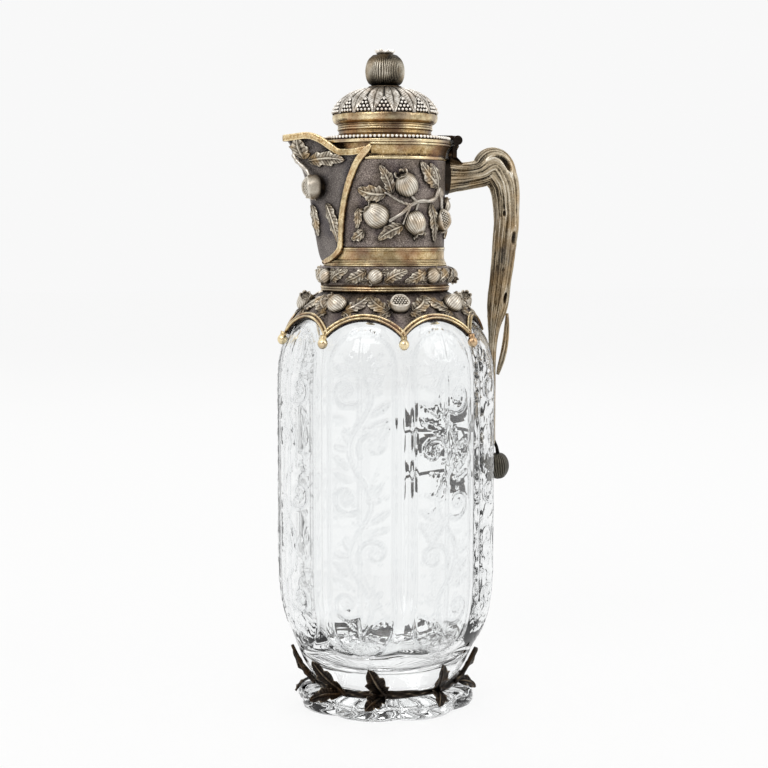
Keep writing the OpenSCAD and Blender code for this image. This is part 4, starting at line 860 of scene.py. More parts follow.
def glassVessel():
    # The outer skin is a radius over angle and height: the larger of the plain outline and the pillars. Columns
    # crowd where the engraving is. The bore and the hollow are the same surface carried on inside, with a third
    # of the columns, stitched at the top of the neck.
    half = 180 / glass["panels"]
    delta = np.concatenate([np.linspace(-19.6, 19.6, 43), [20.7, 21.7, half, half + 0.8, half + 1.8]])
    columns = (np.arange(glass["panels"])[:, None] * 2 * half + half + delta[None]).ravel()
    fromMid = (columns % (2 * half)) - half
    rowStep, neckFoot = 0.86, 202.0
    z = np.concatenate([[12.4, 13.6, 15, 16.6, 18.4, 20.2, 22, 24, 26, 28, 30], np.arange(31, 189, rowStep),
                        [189.6, 190.8, 192, 193, 194, 195.2, 196.6, 198, 199.6, 201.2, neckFoot]])
    low, high = glass["bottom"], glass["arch"]
    pillar = np.where(z < (low[0] + high[0]) / 2, cap(glass["pillarR"], (low[0] - z) / (low[0] - low[1]), 2.8),
                      cap(glass["pillarR"], (z - high[0]) / (high[1] - high[0]), 3.0))
    lobes = lobeRadius(fromMid[None], pillar[:, None])
    plain = glassOutline(z)[:, None] + 0 * lobes
    soft = glass["softEnds"]
    skin = np.maximum(lobes, plain) + 0.25 * soft * np.clip(1 - np.abs(lobes - plain) / soft, 0, 1) ** 2
    s = np.radians(fromMid)[None] * glass["unroll"] + 0 * skin
    t = z[:, None] + 0 * skin
    depth = np.zeros_like(skin)
    panelOf = (columns // (2 * half)).astype(int)
    for k in range(glass["panels"]):
        mine = panelOf == k
        depth[:, mine] = engraving(s[:, mine], t[:, mine], k)
    steep = np.hypot(np.gradient(depth, axis=0) / rowStep, np.gradient(depth, axis=1) / 0.9)
    cutShine = np.clip(0.9 * steep + 0.15 * depth, 0, 1)
    skin = skin - engraved["depth"] * depth
    footZ, footR = np.array(glass["foot"]).T[:, :, None]
    footLobe = np.maximum(lobeRadius(fromMid[None], footR - glass["offset"]), 30)
    flute = glass["flute"] * np.cos(np.radians(fromMid) * glass["panels"] * 3)[None]
    footLobe = footLobe + flute * smooth((footZ - 5) / 1.5) * smooth(9.2 - footZ)
    neckZ = np.array([neckFoot, 204, 214, 224.6, 225.6, glass["neckTop"]])[:, None]
    neckR = glass["neckR"] - np.array([0, 0, 0, 0, 0.3, 1])[:, None] + 0 * fromMid[None]
    cuts = np.vstack([0 * footLobe, cutShine, 0 * neckR])
    outer = polar(columns[None], np.vstack([footLobe, skin, neckR]), np.vstack([footZ, z[:, None], neckZ]))
    rows, cols = outer.shape[:2]
    index = np.arange(rows * cols).reshape(rows, cols)
    ring = np.hstack([index, index[:, :1]])
    quads = [np.stack([ring[:-1, :-1], ring[:-1, 1:], ring[1:, 1:], ring[1:, :-1]], -1).reshape(-1, 4)]
    verts = [outer.reshape(-1, 3)]
    base = rows * cols
    # the underside: two more rings and a middle point, cut with a star of shallow rays
    star = np.abs(np.cos(np.radians(columns) * 12))
    under = np.stack([polar(columns, 36.0, 0.5 * star + 0.2), polar(columns, 18.0, 0.7 * star + 0.2)])
    verts.append(under.reshape(-1, 3))
    verts.append(np.array([[0, 0, 0.3]]))
    a = ring[0]
    b = base + np.arange(cols + 1) % cols
    c = b + cols
    quads += [np.stack([b[:-1], b[1:], a[1:], a[:-1]], 1), np.stack([c[:-1], c[1:], b[1:], b[:-1]], 1)]
    tris = [np.stack([c[1:], c[:-1], np.full(cols, base + 2 * cols)], 1)]
    base += 2 * cols + 1
    # the inside
    u = np.sin(np.linspace(0, np.pi / 2, 13))
    hollow = [(glass["boreR"] + 0.8, glass["neckTop"])] + [(glass["boreR"], h) for h in (225.2, 216, 206, 197)]
    hollow += [(glass["boreR"] + cap(glass["cavityR"] - glass["boreR"], k, 2.5), 150 + 46 * k) for k in u[::-1]]
    hollow += [(glass["cavityR"], h) for h in (135, 120, 105, 90, 75)]
    hollow += [(max(cap(glass["cavityR"], k, 2.6), 0.6), 60 - (60 - glass["cavityFloor"]) * k) for k in u]
    hollow = np.array(hollow)
    few = columns[::3]
    inner = polar(few[None], hollow[:, :1], hollow[:, 1:])
    inRows, inCols = inner.shape[:2]
    verts += [inner.reshape(-1, 3), np.array([[0, 0, glass["cavityFloor"]]])]
    inRing = base + np.arange(inRows * inCols).reshape(inRows, inCols)
    inRing = np.hstack([inRing, inRing[:, :1]])
    quads.append(np.stack([inRing[:-1, :-1], inRing[:-1, 1:], inRing[1:, 1:], inRing[1:, :-1]], -1).reshape(-1, 4))
    o, i = ring[-1], inRing[0]
    quads.append(np.stack([o[1::3], o[2::3], i[1:], i[:-1]], 1))
    tris += [np.stack([o[:-1:3], o[1::3], i[:-1]], 1), np.stack([o[2::3], o[3::3], i[1:]], 1)]
    last = inRing[-1]
    tris.append(np.stack([last[:-1], last[1:], np.full(inCols, base + inRows * inCols)], 1))
    verts, quads, tris = np.vstack(verts), np.vstack(quads), np.vstack(tris)
    lift = np.concatenate([cuts.ravel(), np.zeros(len(verts) - rows * cols)])
    return outward({"verts": verts, "quads": quads, "tris": tris, "lift": lift,
                    "quadUv": np.zeros((len(quads), 4, 2)), "triUv": np.zeros((len(tris), 3, 2))})


makePiece("glassVessel", [glassVessel()], cutGlass, "jug", ["glass_vessel"])
print("glass made")


# ---- shoulder mount ----
notches = np.arange(8) * 45.0
panelMids = notches + 22.5


def archEdge(delta, grow):
    # where the arch crosses the mount, delta degrees from a panel's middle: the first t below the circle
    t = np.linspace(0, 1, 500)
    radius, z = shoulderPoint(t, 0)
    side = radius[:, None] * np.sin(np.radians(delta))[None]
    circle = shoulder["archZ"] + np.sqrt(np.maximum((shoulder["archR"] + grow) ** 2 - side**2, 0))
    below = z[:, None] < circle
    return np.where(below.any(0), t[np.argmax(below, 0)], 1.0)


def shoulderMount():
    # a sheet over angle and t, from the ring down to the arches, its inside a thickness behind it
    angle = np.arange(384) * 360 / 384
    delta = (angle % 45) - 22.5
    end = archEdge(delta, 0)[None]
    k = np.linspace(0, 1, 26)[:, None]
    t = end * k
    folds = 0.22 * np.cos(np.radians(delta) * 8 * 4) * smooth(k * 3) * smooth((1 - k) * 4)
    scratch = 0.1 * waves(angle[None] / 0.9, k * 14, 5)
    radius, z = shoulderPoint(t, folds + 0.5 * scratch)
    outer = polar(angle[None], radius, z)
    # the lift follows the folds and scratches, with painted shade next to the ring and under the arch wires at the
    # edge
    lifts = np.clip(0.34 + 0.5 * folds + 1.4 * scratch - 0.28 * bump(k, 0.12) - 0.25 * bump(k - 1, 0.12), 0, 1)
    radiusIn, zIn = shoulderPoint(t[::-3] * 0.998, -shoulder["t"])
    inner = polar(angle[None], radiusIn, zIn)
    return surface(np.concatenate([outer, inner]), np.concatenate([lifts, 0.1 + 0 * inner[..., 0]]), loop=True,
                   size=(240, 30))


archWire = {
    "span": 47.0,        # degrees of the arch on each side of its top
    "steps": 61, "grow": 1.4, "height": 0.3,
    "section": [(-1.5, -0.4, 0.1), (-1.5, 0.35, 0.5), (-1.15, 0.8, 1.0), (-0.75, 0.8, 0.9), (-0.35, 0.35, 0.3),
                (0.0, 0.25, 0.15), (0.35, 0.35, 0.3), (0.75, 0.8, 0.9), (1.15, 0.8, 1.0), (1.5, 0.35, 0.5),
                (1.5, -0.4, 0.1)],
}


def archPath(middle):
    # points along an arch on the mount, and the way out of it at each
    circle = shoulder["archR"] + archWire["grow"]
    q = np.radians(90 + np.linspace(-1, 1, archWire["steps"]) * archWire["span"])
    t = np.linspace(0, 1, 500)
    t = np.interp(-shoulder["archZ"] - circle * np.sin(q), -shoulderPoint(t, 0)[1], t)
    radius, z = shoulderPoint(t, archWire["height"])
    a = middle + np.degrees(np.arcsin(np.clip(circle * np.cos(q) / radius, -1, 1)))
    at = polar(a, radius, z)
    return at, polar(a, *shoulderPoint(t, archWire["height"] + 1)) - at


makePiece("shoulderMount", [shoulderMount()], finish["mattedSilver"], "jug", ["shoulder_mount"])
makePiece("shoulderWire", [band(*archPath(middle), archWire["section"]) for middle in panelMids], finish["gilt"],
          "jug", ["shoulder_wire"])

pointBall = {"radius": 2.4, "cadRadius": 2.0}    # drawn larger than the frame's own balls, on the same places


def pointBalls():
    # a ball below each point but the one that the handle covers, with a short neck up to the wires
    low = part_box("shoulder_balls")[0] / mm
    r, z = -low.x - pointBall["cadRadius"], low.z + pointBall["cadRadius"]
    parts = []
    for a in notches[1:]:
        parts += fruit(polar(a, r, z), polar(a, 0.2, -1), pointBall["radius"], hasCrown=False, around=28, rows=16)
        parts.append(tube([polar(a, r - 0.9, z + 3.6), polar(a, r - 0.5, z + 2.2), polar(a, r, z + 1.2)],
                          [1.7, 1.5, 1.3], 12, side=polar(a + 90, 1, 0), lift=0.7))
    return parts


shoulderFruit = {"radius": 5.0, "t": 0.34, "sink": 0.6}    # t is its place down the mount, 0 at the ring


def shoulderFruits():
    # a fruit over each point, every fourth split open, each leaning its own way
    parts = []
    for k, a in enumerate(notches):
        at = onShoulder(a, shoulderFruit["t"], shoulderFruit["sink"])
        out = unit(onShoulder(a, shoulderFruit["t"], 5) - at)
        side = polar(a + 90, 1, 0)
        ground = heightOver(at, out, 1.0)
        if k % 4 == 2:
            parts += splitFruit(at, side, polar(a, 1, 0.9), shoulderFruit["radius"], ground, seed=k)
            parts.append(crown(at, -side, shoulderFruit["radius"] * 0.9))
        else:
            axis = side * (0.8 if k % 3 == 1 else -0.9) + 0.35 * out + np.array([0, 0, 0.5])
            parts += fruit(at, axis, shoulderFruit["radius"] * 0.97, ground, seed=k)
    return parts


def shoulderLeaves():
    # on each side of a fruit a broad leaf that climbs to the ring and a small one that hangs
    parts, rise = [], 26    # rise is the millimetres from the ring down to a point
    for a in notches:
        for side in (-1, 1):
            broad = spread(onShoulder, [a + side * 8.6, 0.46], [a + side * 22.2, 0.12], degreeArc(37), rise,
                           1.2 * side)
            small = spread(onShoulder, [a + side * 6.5, 0.5], [a + side * 13.5, 0.66], degreeArc(40), rise,
                           -0.8 * side)
            parts += [leaf(broad, 6.4, 1.5, curl=1.2), leaf(small, 3.6, 0.9, curl=0.8, shade=0.2)]
    return parts


makePiece("shoulderBalls", pointBalls(), finish["gilt"], "jug", ["shoulder_balls"])
makePiece("shoulderFruits", shoulderFruits(), finish["fruitSilver"], "jug", ["shoulder_fruits"])
makePiece("shoulderLeaves", shoulderLeaves(), finish["leafSilver"], "jug", ["shoulder_leaves"])
print("shoulder made")


# ---- rings of the neck ----
bore = neck["bore"]
ringTall, mouldingTall, bandTall = ringTop - shoulderTop, mouldingTop - garlandTop, bandTop - mouldingTop
rings = {
    # (radius, height over the ring's own foot, lift)
    "neckRing": [(bore, 0, 0), (30.6, 0, 0.1), (31.2, 0.5, 0.6), (31.5, 1.1, 0.9), (31.2, 1.55, 0.25),
                 (31.7, 2.0, 0.9), (31.4, 2.7, 0.7), (30.9, 2.95, 0.2), (30.8, ringTall, 0.2), (bore, ringTall, 0)],
    "moulding": [(bore, 0, 0), (29.6, 0, 0.2), (30.1, 0.35, 0.8), (30.2, 0.8, 1.0), (29.7, 1.05, 0.25),
                 (30.0, 1.4, 0.9), (29.5, mouldingTall, 0.4), (bore, mouldingTall, 0)],
    "band": [(bore, 0, 0), (29.3, 0, 0.3), (29.4, 0.45, 0.9), (29.0, 0.7, 0.1), (29.3, 1.0, 0.9),
             (28.85, 1.35, 0.15), (28.8, 1.7, 0.6), (28.8, 3.4, 0.66), (28.8, bandTall - 1.9, 0.6),
             (28.85, bandTall - 1.6, 0.15), (29.15, bandTall - 1.3, 0.9), (28.9, bandTall - 1.0, 0.15),
             (29.2, bandTall - 0.6, 0.95), (29.2, bandTall - 0.1, 0.7), (29.0, bandTall, 0.2), (bore, bandTall, 0)],
}
makePiece("neckRing", [lathe(above(shoulderTop, rings["neckRing"]), 0.2, wobble=0.05)], finish["gilt"], "jug",
          ["neck_ring"])


def garlandRing():
    # the swollen ring, roughened between its leaves
    z = np.linspace(ringTop, garlandTop, 20)[:, None]
    angle = (np.arange(360))[None] * 1.0
    rough = 0.12 * waves(angle / 1.4, z * 1.6, 8)
    outer = polar(angle, garlandRadius(z) + rough, z)
    inner = polar(angle, neck["bore"], np.array([[garlandTop], [ringTop]]))
    share = (z - ringTop) / (garlandTop - ringTop)
    lifts = np.clip(0.3 + 1.6 * rough + 0.35 * (bump(share, 0.07) + bump(share - 1, 0.07)), 0, 1)
    return surface(np.concatenate([outer, inner]), np.concatenate([lifts, 0 * inner[..., 0]]), loop=True,
                   size=(200, 9))


garland = {"count": 7, "first": 252.0, "radius": 3.9, "low": ringTop + 1.7, "high": garlandTop - 1.6}


def garlandParts():
    # Fruits at even steps. Between two of them a leaf rises from one, a leaf falls from the other, and each fruit
    # has a small leaf on both sides. Returns the fruits and the leaves.
    low, high, step = garland["low"], garland["high"], 360 / garland["count"]
    middle, arc = (ringTop + garlandTop) / 2, degreeArc(neck["garlandR"])
    fruits, leaves = [], []
    for k in range(garland["count"]):
        a = garland["first"] + k * step
        way = 1 if k % 2 else -1
        axis = 0.55 * polar(a, 1, 0) + way * (0.8 * polar(a + 90, 1, 0) + np.array([0, 0, 0.7]))
        fruits += fruit(polar(a, garlandRadius(middle) - 0.9, middle), axis, garland["radius"],
                        lambda p: np.hypot(p[..., 0], p[..., 1]) - garlandRadius(middle) + 0.4, seed=k, around=48,
                        rows=24)
        for base, tip in (([a + 7.5, low], [a + 27, high]), ([a + step - 7.5, high], [a + step - 27, low])):
            leaves.append(leaf(spread(onGarland, base, tip, arc, 1, 0.7), 5.2, 1.1, curl=1.0))
        for base, tip in (([a + 5, high - 1], [a + 14, high - 0.6]), ([a - 5, low + 1], [a - 14, low + 0.6])):
            leaves.append(leaf(spread(onGarland, base, tip, arc), 2.8, 0.8, curl=0.8, shade=0.15))
    return fruits, leaves


makePiece("garlandRing", [garlandRing()], finish["mattedSilver"], "jug", ["garland_ring"])
garlandFruits, garlandLeaves = garlandParts()
makePiece("garlandFruits", garlandFruits, finish["fruitSilver"], "jug", ["garland_fruits"])
makePiece("garlandLeaves", garlandLeaves, finish["leafSilver"], "jug", ["garland_leaves"])
makePiece("baseMoulding", [lathe(above(garlandTop, rings["moulding"]), 0.15, wobble=0.04, seed=2)], finish["gilt"],
          "jug", ["base_moulding"])
makePiece("baseBand", [lathe(above(mouldingTop, rings["band"]), 0.12, wobble=0.03, seed=3)], finish["gilt"], "jug",
          ["base_band"])
print("rings made")


# ---- collar ornament: what the camera sees is mirrored to the far side ----
# All places are (degrees, height). A fruit has its place, its radius and where its crown points; a leaf its base,
# tip, width and bend; a stem its line and its thickness at the start and the end.
sprays = {
    "fruits": [((280, 253.8), 5.9, (273.6, 259.1)), ((252, 239.4), 6.2, (241.8, 244.2)),
               ((289, 236.2), 5.8, (293.4, 228.7)), ((343, 244.5), 3.6, (345, 251))],
    "split": [((326, 237.6), 5.5, (329, 229))],
    "leaves": [((261, 249.6), (234.6, 252), 7.6, 1.0), ((266.4, 249.8), (255.4, 263), 5.4, -0.8),
               ((319, 253.4), (294.6, 264.6), 7.6, 1.2), ((317.5, 252.6), (306, 264.2), 5.2, -1.2),
               ((276.4, 234.8), (253.8, 228.3), 6.2, -0.8), ((240.4, 232.4), (227.8, 228.3), 4.6, 0.5),
               ((235, 243), (233.4, 233.5), 3.8, 0.4), ((307, 245.2), (313, 227.4), 5.6, 0.8),
               ((342, 239), (338, 228.6), 4.8, 0.4)],
    "stems": [([(324, 249.5), (319.5, 252.3), (313.5, 248.2), (304, 246.4), (293, 246.3), (284, 244.4),
                (275, 240.4), (263.5, 236.9)], 1.25, 0.8),
              ([(283, 244.6), (277, 245.6), (270, 247.2), (263, 249.6), (257, 250.6)], 0.85, 0.5),
              ([(290, 246.2), (287, 247.6), (284.6, 249)], 0.7, 0.5),
              ([(292, 246), (291, 244), (289.6, 241.6)], 0.7, 0.5),
              ([(283, 243.5), (280, 239), (276.8, 235.4)], 0.8, 0.5),
              ([(321, 251.2), (325, 247), (326, 243)], 1.0, 0.8)],
}


def mirrored(part):
    # the same part on the far side
    flipped = dict(part, verts=part["verts"] * [1, -1, 1])
    return outward(flipped)


def onBoth(parts):
    # the parts and their mirror images
    return parts + [mirrored(p) for p in parts]


def collarGround(points):
    # how far points lie outside the collar's wall
    return np.hypot(points[..., 0], points[..., 1]) - collarRadius(points[..., 2])


def collarFruits():
    # the fruits, sunk a little into the wall, and the one that has split
    sink, parts = -0.7, []
    for k, (place, radius, crownPlace) in enumerate(sprays["fruits"]):
        at = onCollar(*place, sink)
        parts += fruit(at, onCollar(*crownPlace, radius * 0.42) - at, radius, collarGround, seed=k)
    for place, radius, crownPlace in sprays["split"]:
        at = onCollar(*place, sink)
        opening = polar(place[0] - 16, 1, 0.1)
        parts += splitFruit(at, onCollar(*crownPlace, 0) - at, opening, radius, collarGround)
        parts.append(crown(at, onCollar(*crownPlace, 1) - at, radius * 0.9))
    return parts


def collarStem(line, thick, thin):
    # a tapering tube along a line on the wall, with a knobbly skin
    flat = spline(line, 8)
    k = np.linspace(0, 1, len(flat))
    around = np.arange(14)[None]
    radius = (thick + (thin - thick) * k) * (1 + 0.12 * np.sin(k * 40))
    return tube(onCollar(flat[:, 0], flat[:, 1], radius * 0.6), radius, 14, side=polar(flat[:, 0], 1, 0),
                relief=0.07 * waves(around * 1.9, k[:, None] * 30, 4),
                lift=np.clip(0.66 + 0.3 * waves(around * 2.3, k[:, None] * 40, 5), 0, 1))


fruitsOnCollar = onBoth(collarFruits())
leavesOnCollar = onBoth([leaf(spread(onCollar, base, tip, degreeArc(neck["topR"]), 1, bend), width, 1.3, curl=1.3)
                         for base, tip, width, bend in sprays["leaves"]])
stemsOnCollar = onBoth([collarStem(*stem) for stem in sprays["stems"]])
makePiece("collarFruits", fruitsOnCollar, finish["fruitSilver"], "jug", ["collar_fruits", "fruit_seeds"])
makePiece("collarLeaves", leavesOnCollar, finish["leafSilver"], "jug", ["collar_leaves"])
makePiece("collarBranches", stemsOnCollar, finish["brightSilver"], "jug", ["collar_branches"])


def darkFoot(points, parts, reach):
    # how near each point is to the ornament on it, 1 at its foot and 0 past reach: the strength of the painted
    # shade round each ornament, which also stands for the oxide in that crevice
    spots = np.vstack([p["verts"][::7] for p in parts])
    flat = points.reshape(-1, 3)
    best = np.full(len(flat), 1e9)
    for block in np.array_split(spots, 40):
        best = np.minimum(best, ((flat[:, None] - block[None]) ** 2).sum(2).min(1))
    return np.exp(-np.sqrt(best) / reach).reshape(points.shape[:2])


wayOpen = 30.0    # degrees on each side of the spout's middle


def collarWall():
    # the matted wall, darkened at the foot of each ornament as painted shade, open where the spout's way goes
    # through
    angle = np.linspace(-180 + wayOpen, 180 - wayOpen, 260)[None]
    z = np.linspace(bandTop, collarTop, 48)[:, None]
    rough = 0.05 * waves(angle * 1.7, z * 2.2, 12)
    outer = polar(angle, collarRadius(z) + rough, z)
    inner = polar(angle, neck["bore"], z[::-6])
    section = np.concatenate([outer, inner])
    dark = darkFoot(outer, fruitsOnCollar + leavesOnCollar, 1.3)
    lifts = np.clip(0.5 + 1.2 * rough - 0.55 * dark, 0, 1)
    return surface(section.transpose(1, 0, 2), np.concatenate([lifts, 0.2 + 0 * inner[..., 0]]).T, size=(100, 180))


def collarFoot():
    # the wall below the spout's way
    angle = np.linspace(180 - wayOpen, 180 + wayOpen, 30)
    z0, z1 = bandTop, bandTop + 14.0
    section = [(neck["bore"], z0), (collarRadius(z0), z0), (collarRadius(z1), z1), (neck["bore"], z1)]
    return surface(np.array([[polar(a, r, z) for r, z in section] for a in angle]).reshape(30, 4, 3), 0.2)


makePiece("collarWall", [collarWall(), collarFoot()], finish["mattedSilver"], "jug", ["collar_body"])


def turnedArc(profile, start, end, steps, wobble=0.0, seed=1, corner=0.2):
    # a turned moulding that runs only part of the way round, closed at both ends
    p = soften(profile, corner)
    angle = np.linspace(start, end, steps)
    radius = p[None, :, 0] + wobble * waves(angle[:, None] / 9, p[None, :, 1] / 3, seed)
    return surface(polar(angle[:, None], radius, p[None, :, 1]), p[None, :, 2] + 0 * radius, size=(len(p), 190))


rimTall = rimTop - collarTop
rim = {
    # the profile over the collar's top; beside the spout only its foot goes on, up to "low"
    "profile": [(bore, 0, 0.2), (29.5, 0, 0.2), (29.75, 0.5, 0.9), (29.75, 1.3, 0.9), (29.35, 1.75, 0.1),
                (29.3, 2.2, 0.2), (29.55, 3.3, 0.5), (29.9, 4.5, 0.55), (30.6, 5.7, 0.6),
                (31.2, rimTall - 1.3, 0.6), (31.5, rimTall - 1.1, 0.2), (32.0, rimTall - 0.8, 0.95),
                (32.0, rimTall - 0.1, 1.0), (31.6, rimTall, 0.7), (bore, rimTall, 0.4)],
    "end": 112.5, "low": 2.9, "lowStart": 104, "lowEnd": 119,
}
lowRim = [p for p in rim["profile"] if p[1] < 2.5] + [(29.4, rim["low"], 0.4), (bore, rim["low"], 0.3)]
rimParts = [turnedArc(above(collarTop, rim["profile"]), -rim["end"], rim["end"], 180, 0.06)]
rimParts += [turnedArc(above(collarTop, lowRim), side * rim["lowStart"], side * rim["lowEnd"], 14, 0.06)
             for side in (-1, 1)]
makePiece("collarRim", rimParts, finish["gilt"], "jug", ["collar_rim"])
print("collar made")


# ---- spout ----
def spoutShell():
    # Rows climb the spout and columns cross it. The outside is the two walls and keel, the inside a thickness
    # behind it, down to the collar.
    k = np.linspace(-1, 1, 61)[None]
    top = lipHeight(k * frameAngle(rimTop)) - 2 * spout["wireH"] + 0.3
    rise = np.linspace(0, 1, 60)[:, None]
    z = spout["foot"] + 0.4 + (top - spout["foot"] - 0.4) * rise
    da = k * np.maximum(frameAngle(z) - 2.2, 1)
    r = spoutRadius(da, z, 0.05 * waves(da / 2.2, z / 1.4, 21))
    r0 = collarRadius(np.clip(z, bandTop, collarTop)) + 0.06
    outer = polar(spout["at"] + da, r, z)
    inner = polar(spout["at"] + da, np.maximum(r - spout["t"], r0), z)[:, ::-1]
    # the lift: painted shade at the foot of the ornament, beside the side wires and under the lip wire, and a
    # bright line up the keel
    dark = darkFoot(outer, spoutOrnament, 1.2)
    side = 1 - smooth((1 - np.abs(k)) / 0.16)
    lifts = np.clip(0.5 + 0.5 * bump(k, 0.03) * smooth(rise * 2) - 0.5 * dark - 0.35 * side
                    - 0.3 * smooth((rise - 0.9) / 0.1), 0, 1)
    return surface(np.concatenate([outer, inner], 1), np.concatenate([lifts, 0.3 + 0 * lifts], 1), size=(60, 60))


# Leaves have base, tip, width, bend and height, the stem (degrees, height) and its height off the shell.
spray = {
    "leaves": [((186.5, 266.6), (187.5, 276.2), 7.0, 0.4, 1.2), ((189, 265.6), (222, 265.6), 6.8, 0.9, 1.5),
               ((199.5, 245.5), (214.5, 226.6), 7.0, 0.8, 1.4), ((184, 245), (186, 230), 4.4, 0.4, 1.0)],
    "stem": [(179.5, 269, 0.9), (182, 266.2, 1.6), (184.5, 264, 1.8), (188, 261.4, 2.2), (191, 258.5, 3.2)],
    "fruit": polar(192, 36.4, 253.4), "radius": 5.7, "opening": (-0.93, -0.3, -0.15),
}


def spoutLeaves():
    # the spray's leaves and their mirror image
    parts = []
    for side in (1, -1):
        for base, tip, width, bend, lift in spray["leaves"]:
            ends = [[180 + side * (p[0] - 180), p[1]] for p in (base, tip)]
            parts.append(leaf(spread(onSpout, *ends, degreeArc(38), 1, bend * side), width, lift, curl=1.2))
    return parts


def spoutStem():
    # a stalk of nearly even thickness from the lip to the fruit
    path = spline(onSpout(*np.array(spray["stem"]).T), 6)
    k = np.linspace(0, 1, len(path))
    shine = np.clip(0.75 + 0.25 * waves(np.arange(14)[None], k[:, None] * 20, 3), 0, 1)
    return tube(path, 1.05 + 0.15 * np.sin(k * 26), 14, lift=shine)


def spoutFruit():
    # the split fruit that hangs beside the keel, its crown below
    ground = heightOver(spray["fruit"], unit(spray["fruit"] * [1, 1, 0]), 3.0)
    parts = splitFruit(spray["fruit"], (0.3, 0.15, -1), spray["opening"], spray["radius"], ground,
                       dict(splitCut, wide=0.5, long=0.95))
    return parts + [crown(spray["fruit"], (-0.25, 0.1, -1), spray["radius"] * 0.85)]


leavesOnSpout, fruitOnSpout = spoutLeaves(), spoutFruit()
spoutOrnament = leavesOnSpout + fruitOnSpout
makePiece("spoutLeaves", leavesOnSpout, finish["leafSilver"], "jug", ["spout_leaves"])
makePiece("spoutStem", [spoutStem()], finish["brightSilver"], "jug", ["spout_stem"])
makePiece("spoutFruit", fruitOnSpout, finish["fruitSilver"], "jug", ["spout_fruit"])
makePiece("spoutShell", [spoutShell()], finish["shellSilver"], "jug", ["spout_shell"])

lipWire = {
    "end": 66, "crowd": 1.25,        # degrees from the beak to each end, and how its points crowd at the beak
    "section": [(-1.6, -0.75, 0.2), (-1.6, 0.35, 0.5), (-1.35, 0.85, 1.0), (-0.85, 0.8, 0.6), (0, 0.95, 0.72),
                (0.85, 0.8, 0.6), (1.35, 0.85, 1.0), (1.6, 0.35, 0.5), (1.6, -0.75, 0.3), (0, -0.9, 0.2)],
}


def lipBand():
    # a broad hammered wire under the lip's edge, its face turned straight out of the shell
    da = np.linspace(-1, 1, 121)
    da = np.sign(da) * np.abs(da) ** lipWire["crowd"] * lipWire["end"]
    z = lipHeight(da)
    path = polar(spout["at"] + da, spoutRadius(da, z, -spout["t"] / 2), z - spout["wireH"] - 0.25)
    out = np.cross(unit(np.gradient(path, axis=0)), [0, 0, 1.0])
    out = out * np.sign(np.sum(out * polar(spout["at"] + da, 1, 0), 1, keepdims=True))
    return band(path, out, lipWire["section"])


sideWire = {
    "top": rimTop - 1.2,
    "section": [(-1.7, -0.9, 0.0), (-1.7, 0.3, 0.3), (-1.35, 0.8, 1.0), (-0.9, 0.95, 0.85), (0, 1.05, 0.72),
                (0.9, 0.95, 0.85), (1.35, 0.8, 1.0), (1.7, 0.3, 0.3), (1.7, -0.9, 0.0)],
}


def sideBand(side):
    # the wire that follows the spout's edge up the collar, swings away under the rim and thins at both ends
    low, top = spout["foot"] - 0.2, sideWire["top"]
    z = low + (top - low) * np.linspace(0, 1, 70) ** 1.4
    a = spout["at"] + side * (np.maximum(frameAngle(z), 4.6) + 3.5 * smooth((z - rimTop + 9) / 8))
    out = 1.2 + 1.1 * smooth((z - collarTop - 1) / 7)
    thick = (0.82 + 0.18 * smooth((z - low) / 14)) * (1 - 0.5 * smooth((z - top + 2.2) / 2.2))
    path = polar(a, collarRadius(np.maximum(z, bandTop)) + out, z)
    return band(path, polar(a, 1, 0), sideWire["section"], scale=thick)


makePiece("spoutLip", [lipBand()], finish["hammeredGilt"], "jug", ["spout_lip_wire"])
makePiece("spoutSideWires", [sideBand(1), sideBand(-1)], finish["hammeredGilt"], "jug", ["spout_side_wires"])
print("spout made")


# ---- handle: a bent branch with furrowed bark and knots ----
grip, root = 60.9, collarTop - 7.1    # x of the grip and z of the branch's root
branch = {
    # x past the grip, z past the root, half thickness in the plane of the handle, half thickness across it
    "rows": [(31.1 - grip, 0, 8.2, 7.4), (35 - grip, 0.1, 7.4, 6.8), (39 - grip, 0.3, 6.9, 6.4),
             (47 - grip, 1.9, 6.8, 6.2), (-6.9, 5.3, 9.4, 6.6), (-2.3, -1.2, 7.9, 6.7), (-0.7, -6.7, 7.2, 6.5),
             (-0.1, -14, 6.6, 6.4),
             (0, -22, 6.3, 6.3), (-0.8, -31, 6.1, 6.2), (-2.4, -48, 5.4, 5.8), (-4.2, -63, 5.1, 5.2),
             (-5.9, -74, 3.0, 3.6), (-6.6, -84, 1.9, 2.4), (-6.9, -94, 1.8, 2.2), (-6.9, -103, 1.9, 2.0),
             (-6.9, -122, 1.8, 1.8), (-6.4, -132, 1.5, 1.5)],
    # place along the branch from 0 to 1, degrees from the camera's side, half length, half width, depth
    "knots": [(0.163, 30, 3.4, 1.4, 1.5), (0.37, 31, 3.4, 1.3, 1.5), (0.552, 24, 2.8, 1.1, 1.4),
              (0.46, 150, 3.6, 1.7, 1.3), (0.3, 205, 3.2, 1.6, 1.2), (0.62, 210, 3.4, 1.4, 1.0),
              (0.3, -24, 1.4, 0.8, 0.7), (0.47, -8, 1.2, 0.7, 0.6)],
    # how many furrows run side by side, and their height
    "furrows": [(3, 0.1), (8, 0.13), (15, 0.17), (26, 0.2), (41, 0.17)],
}
shoot = {
    "rows": [(0.7, -67, 0.7, 0.8), (0.5, -74, 1.3, 1.4), (-0.1, -81, 1.5, 1.7), (-1.3, -88, 1.5, 1.7),
             (-3.0, -94, 1.2, 1.3), (-4.0, -97.5, 0.7, 0.8)],
    "knots": [], "furrows": [(4, 0.3), (9, 0.2)],
}


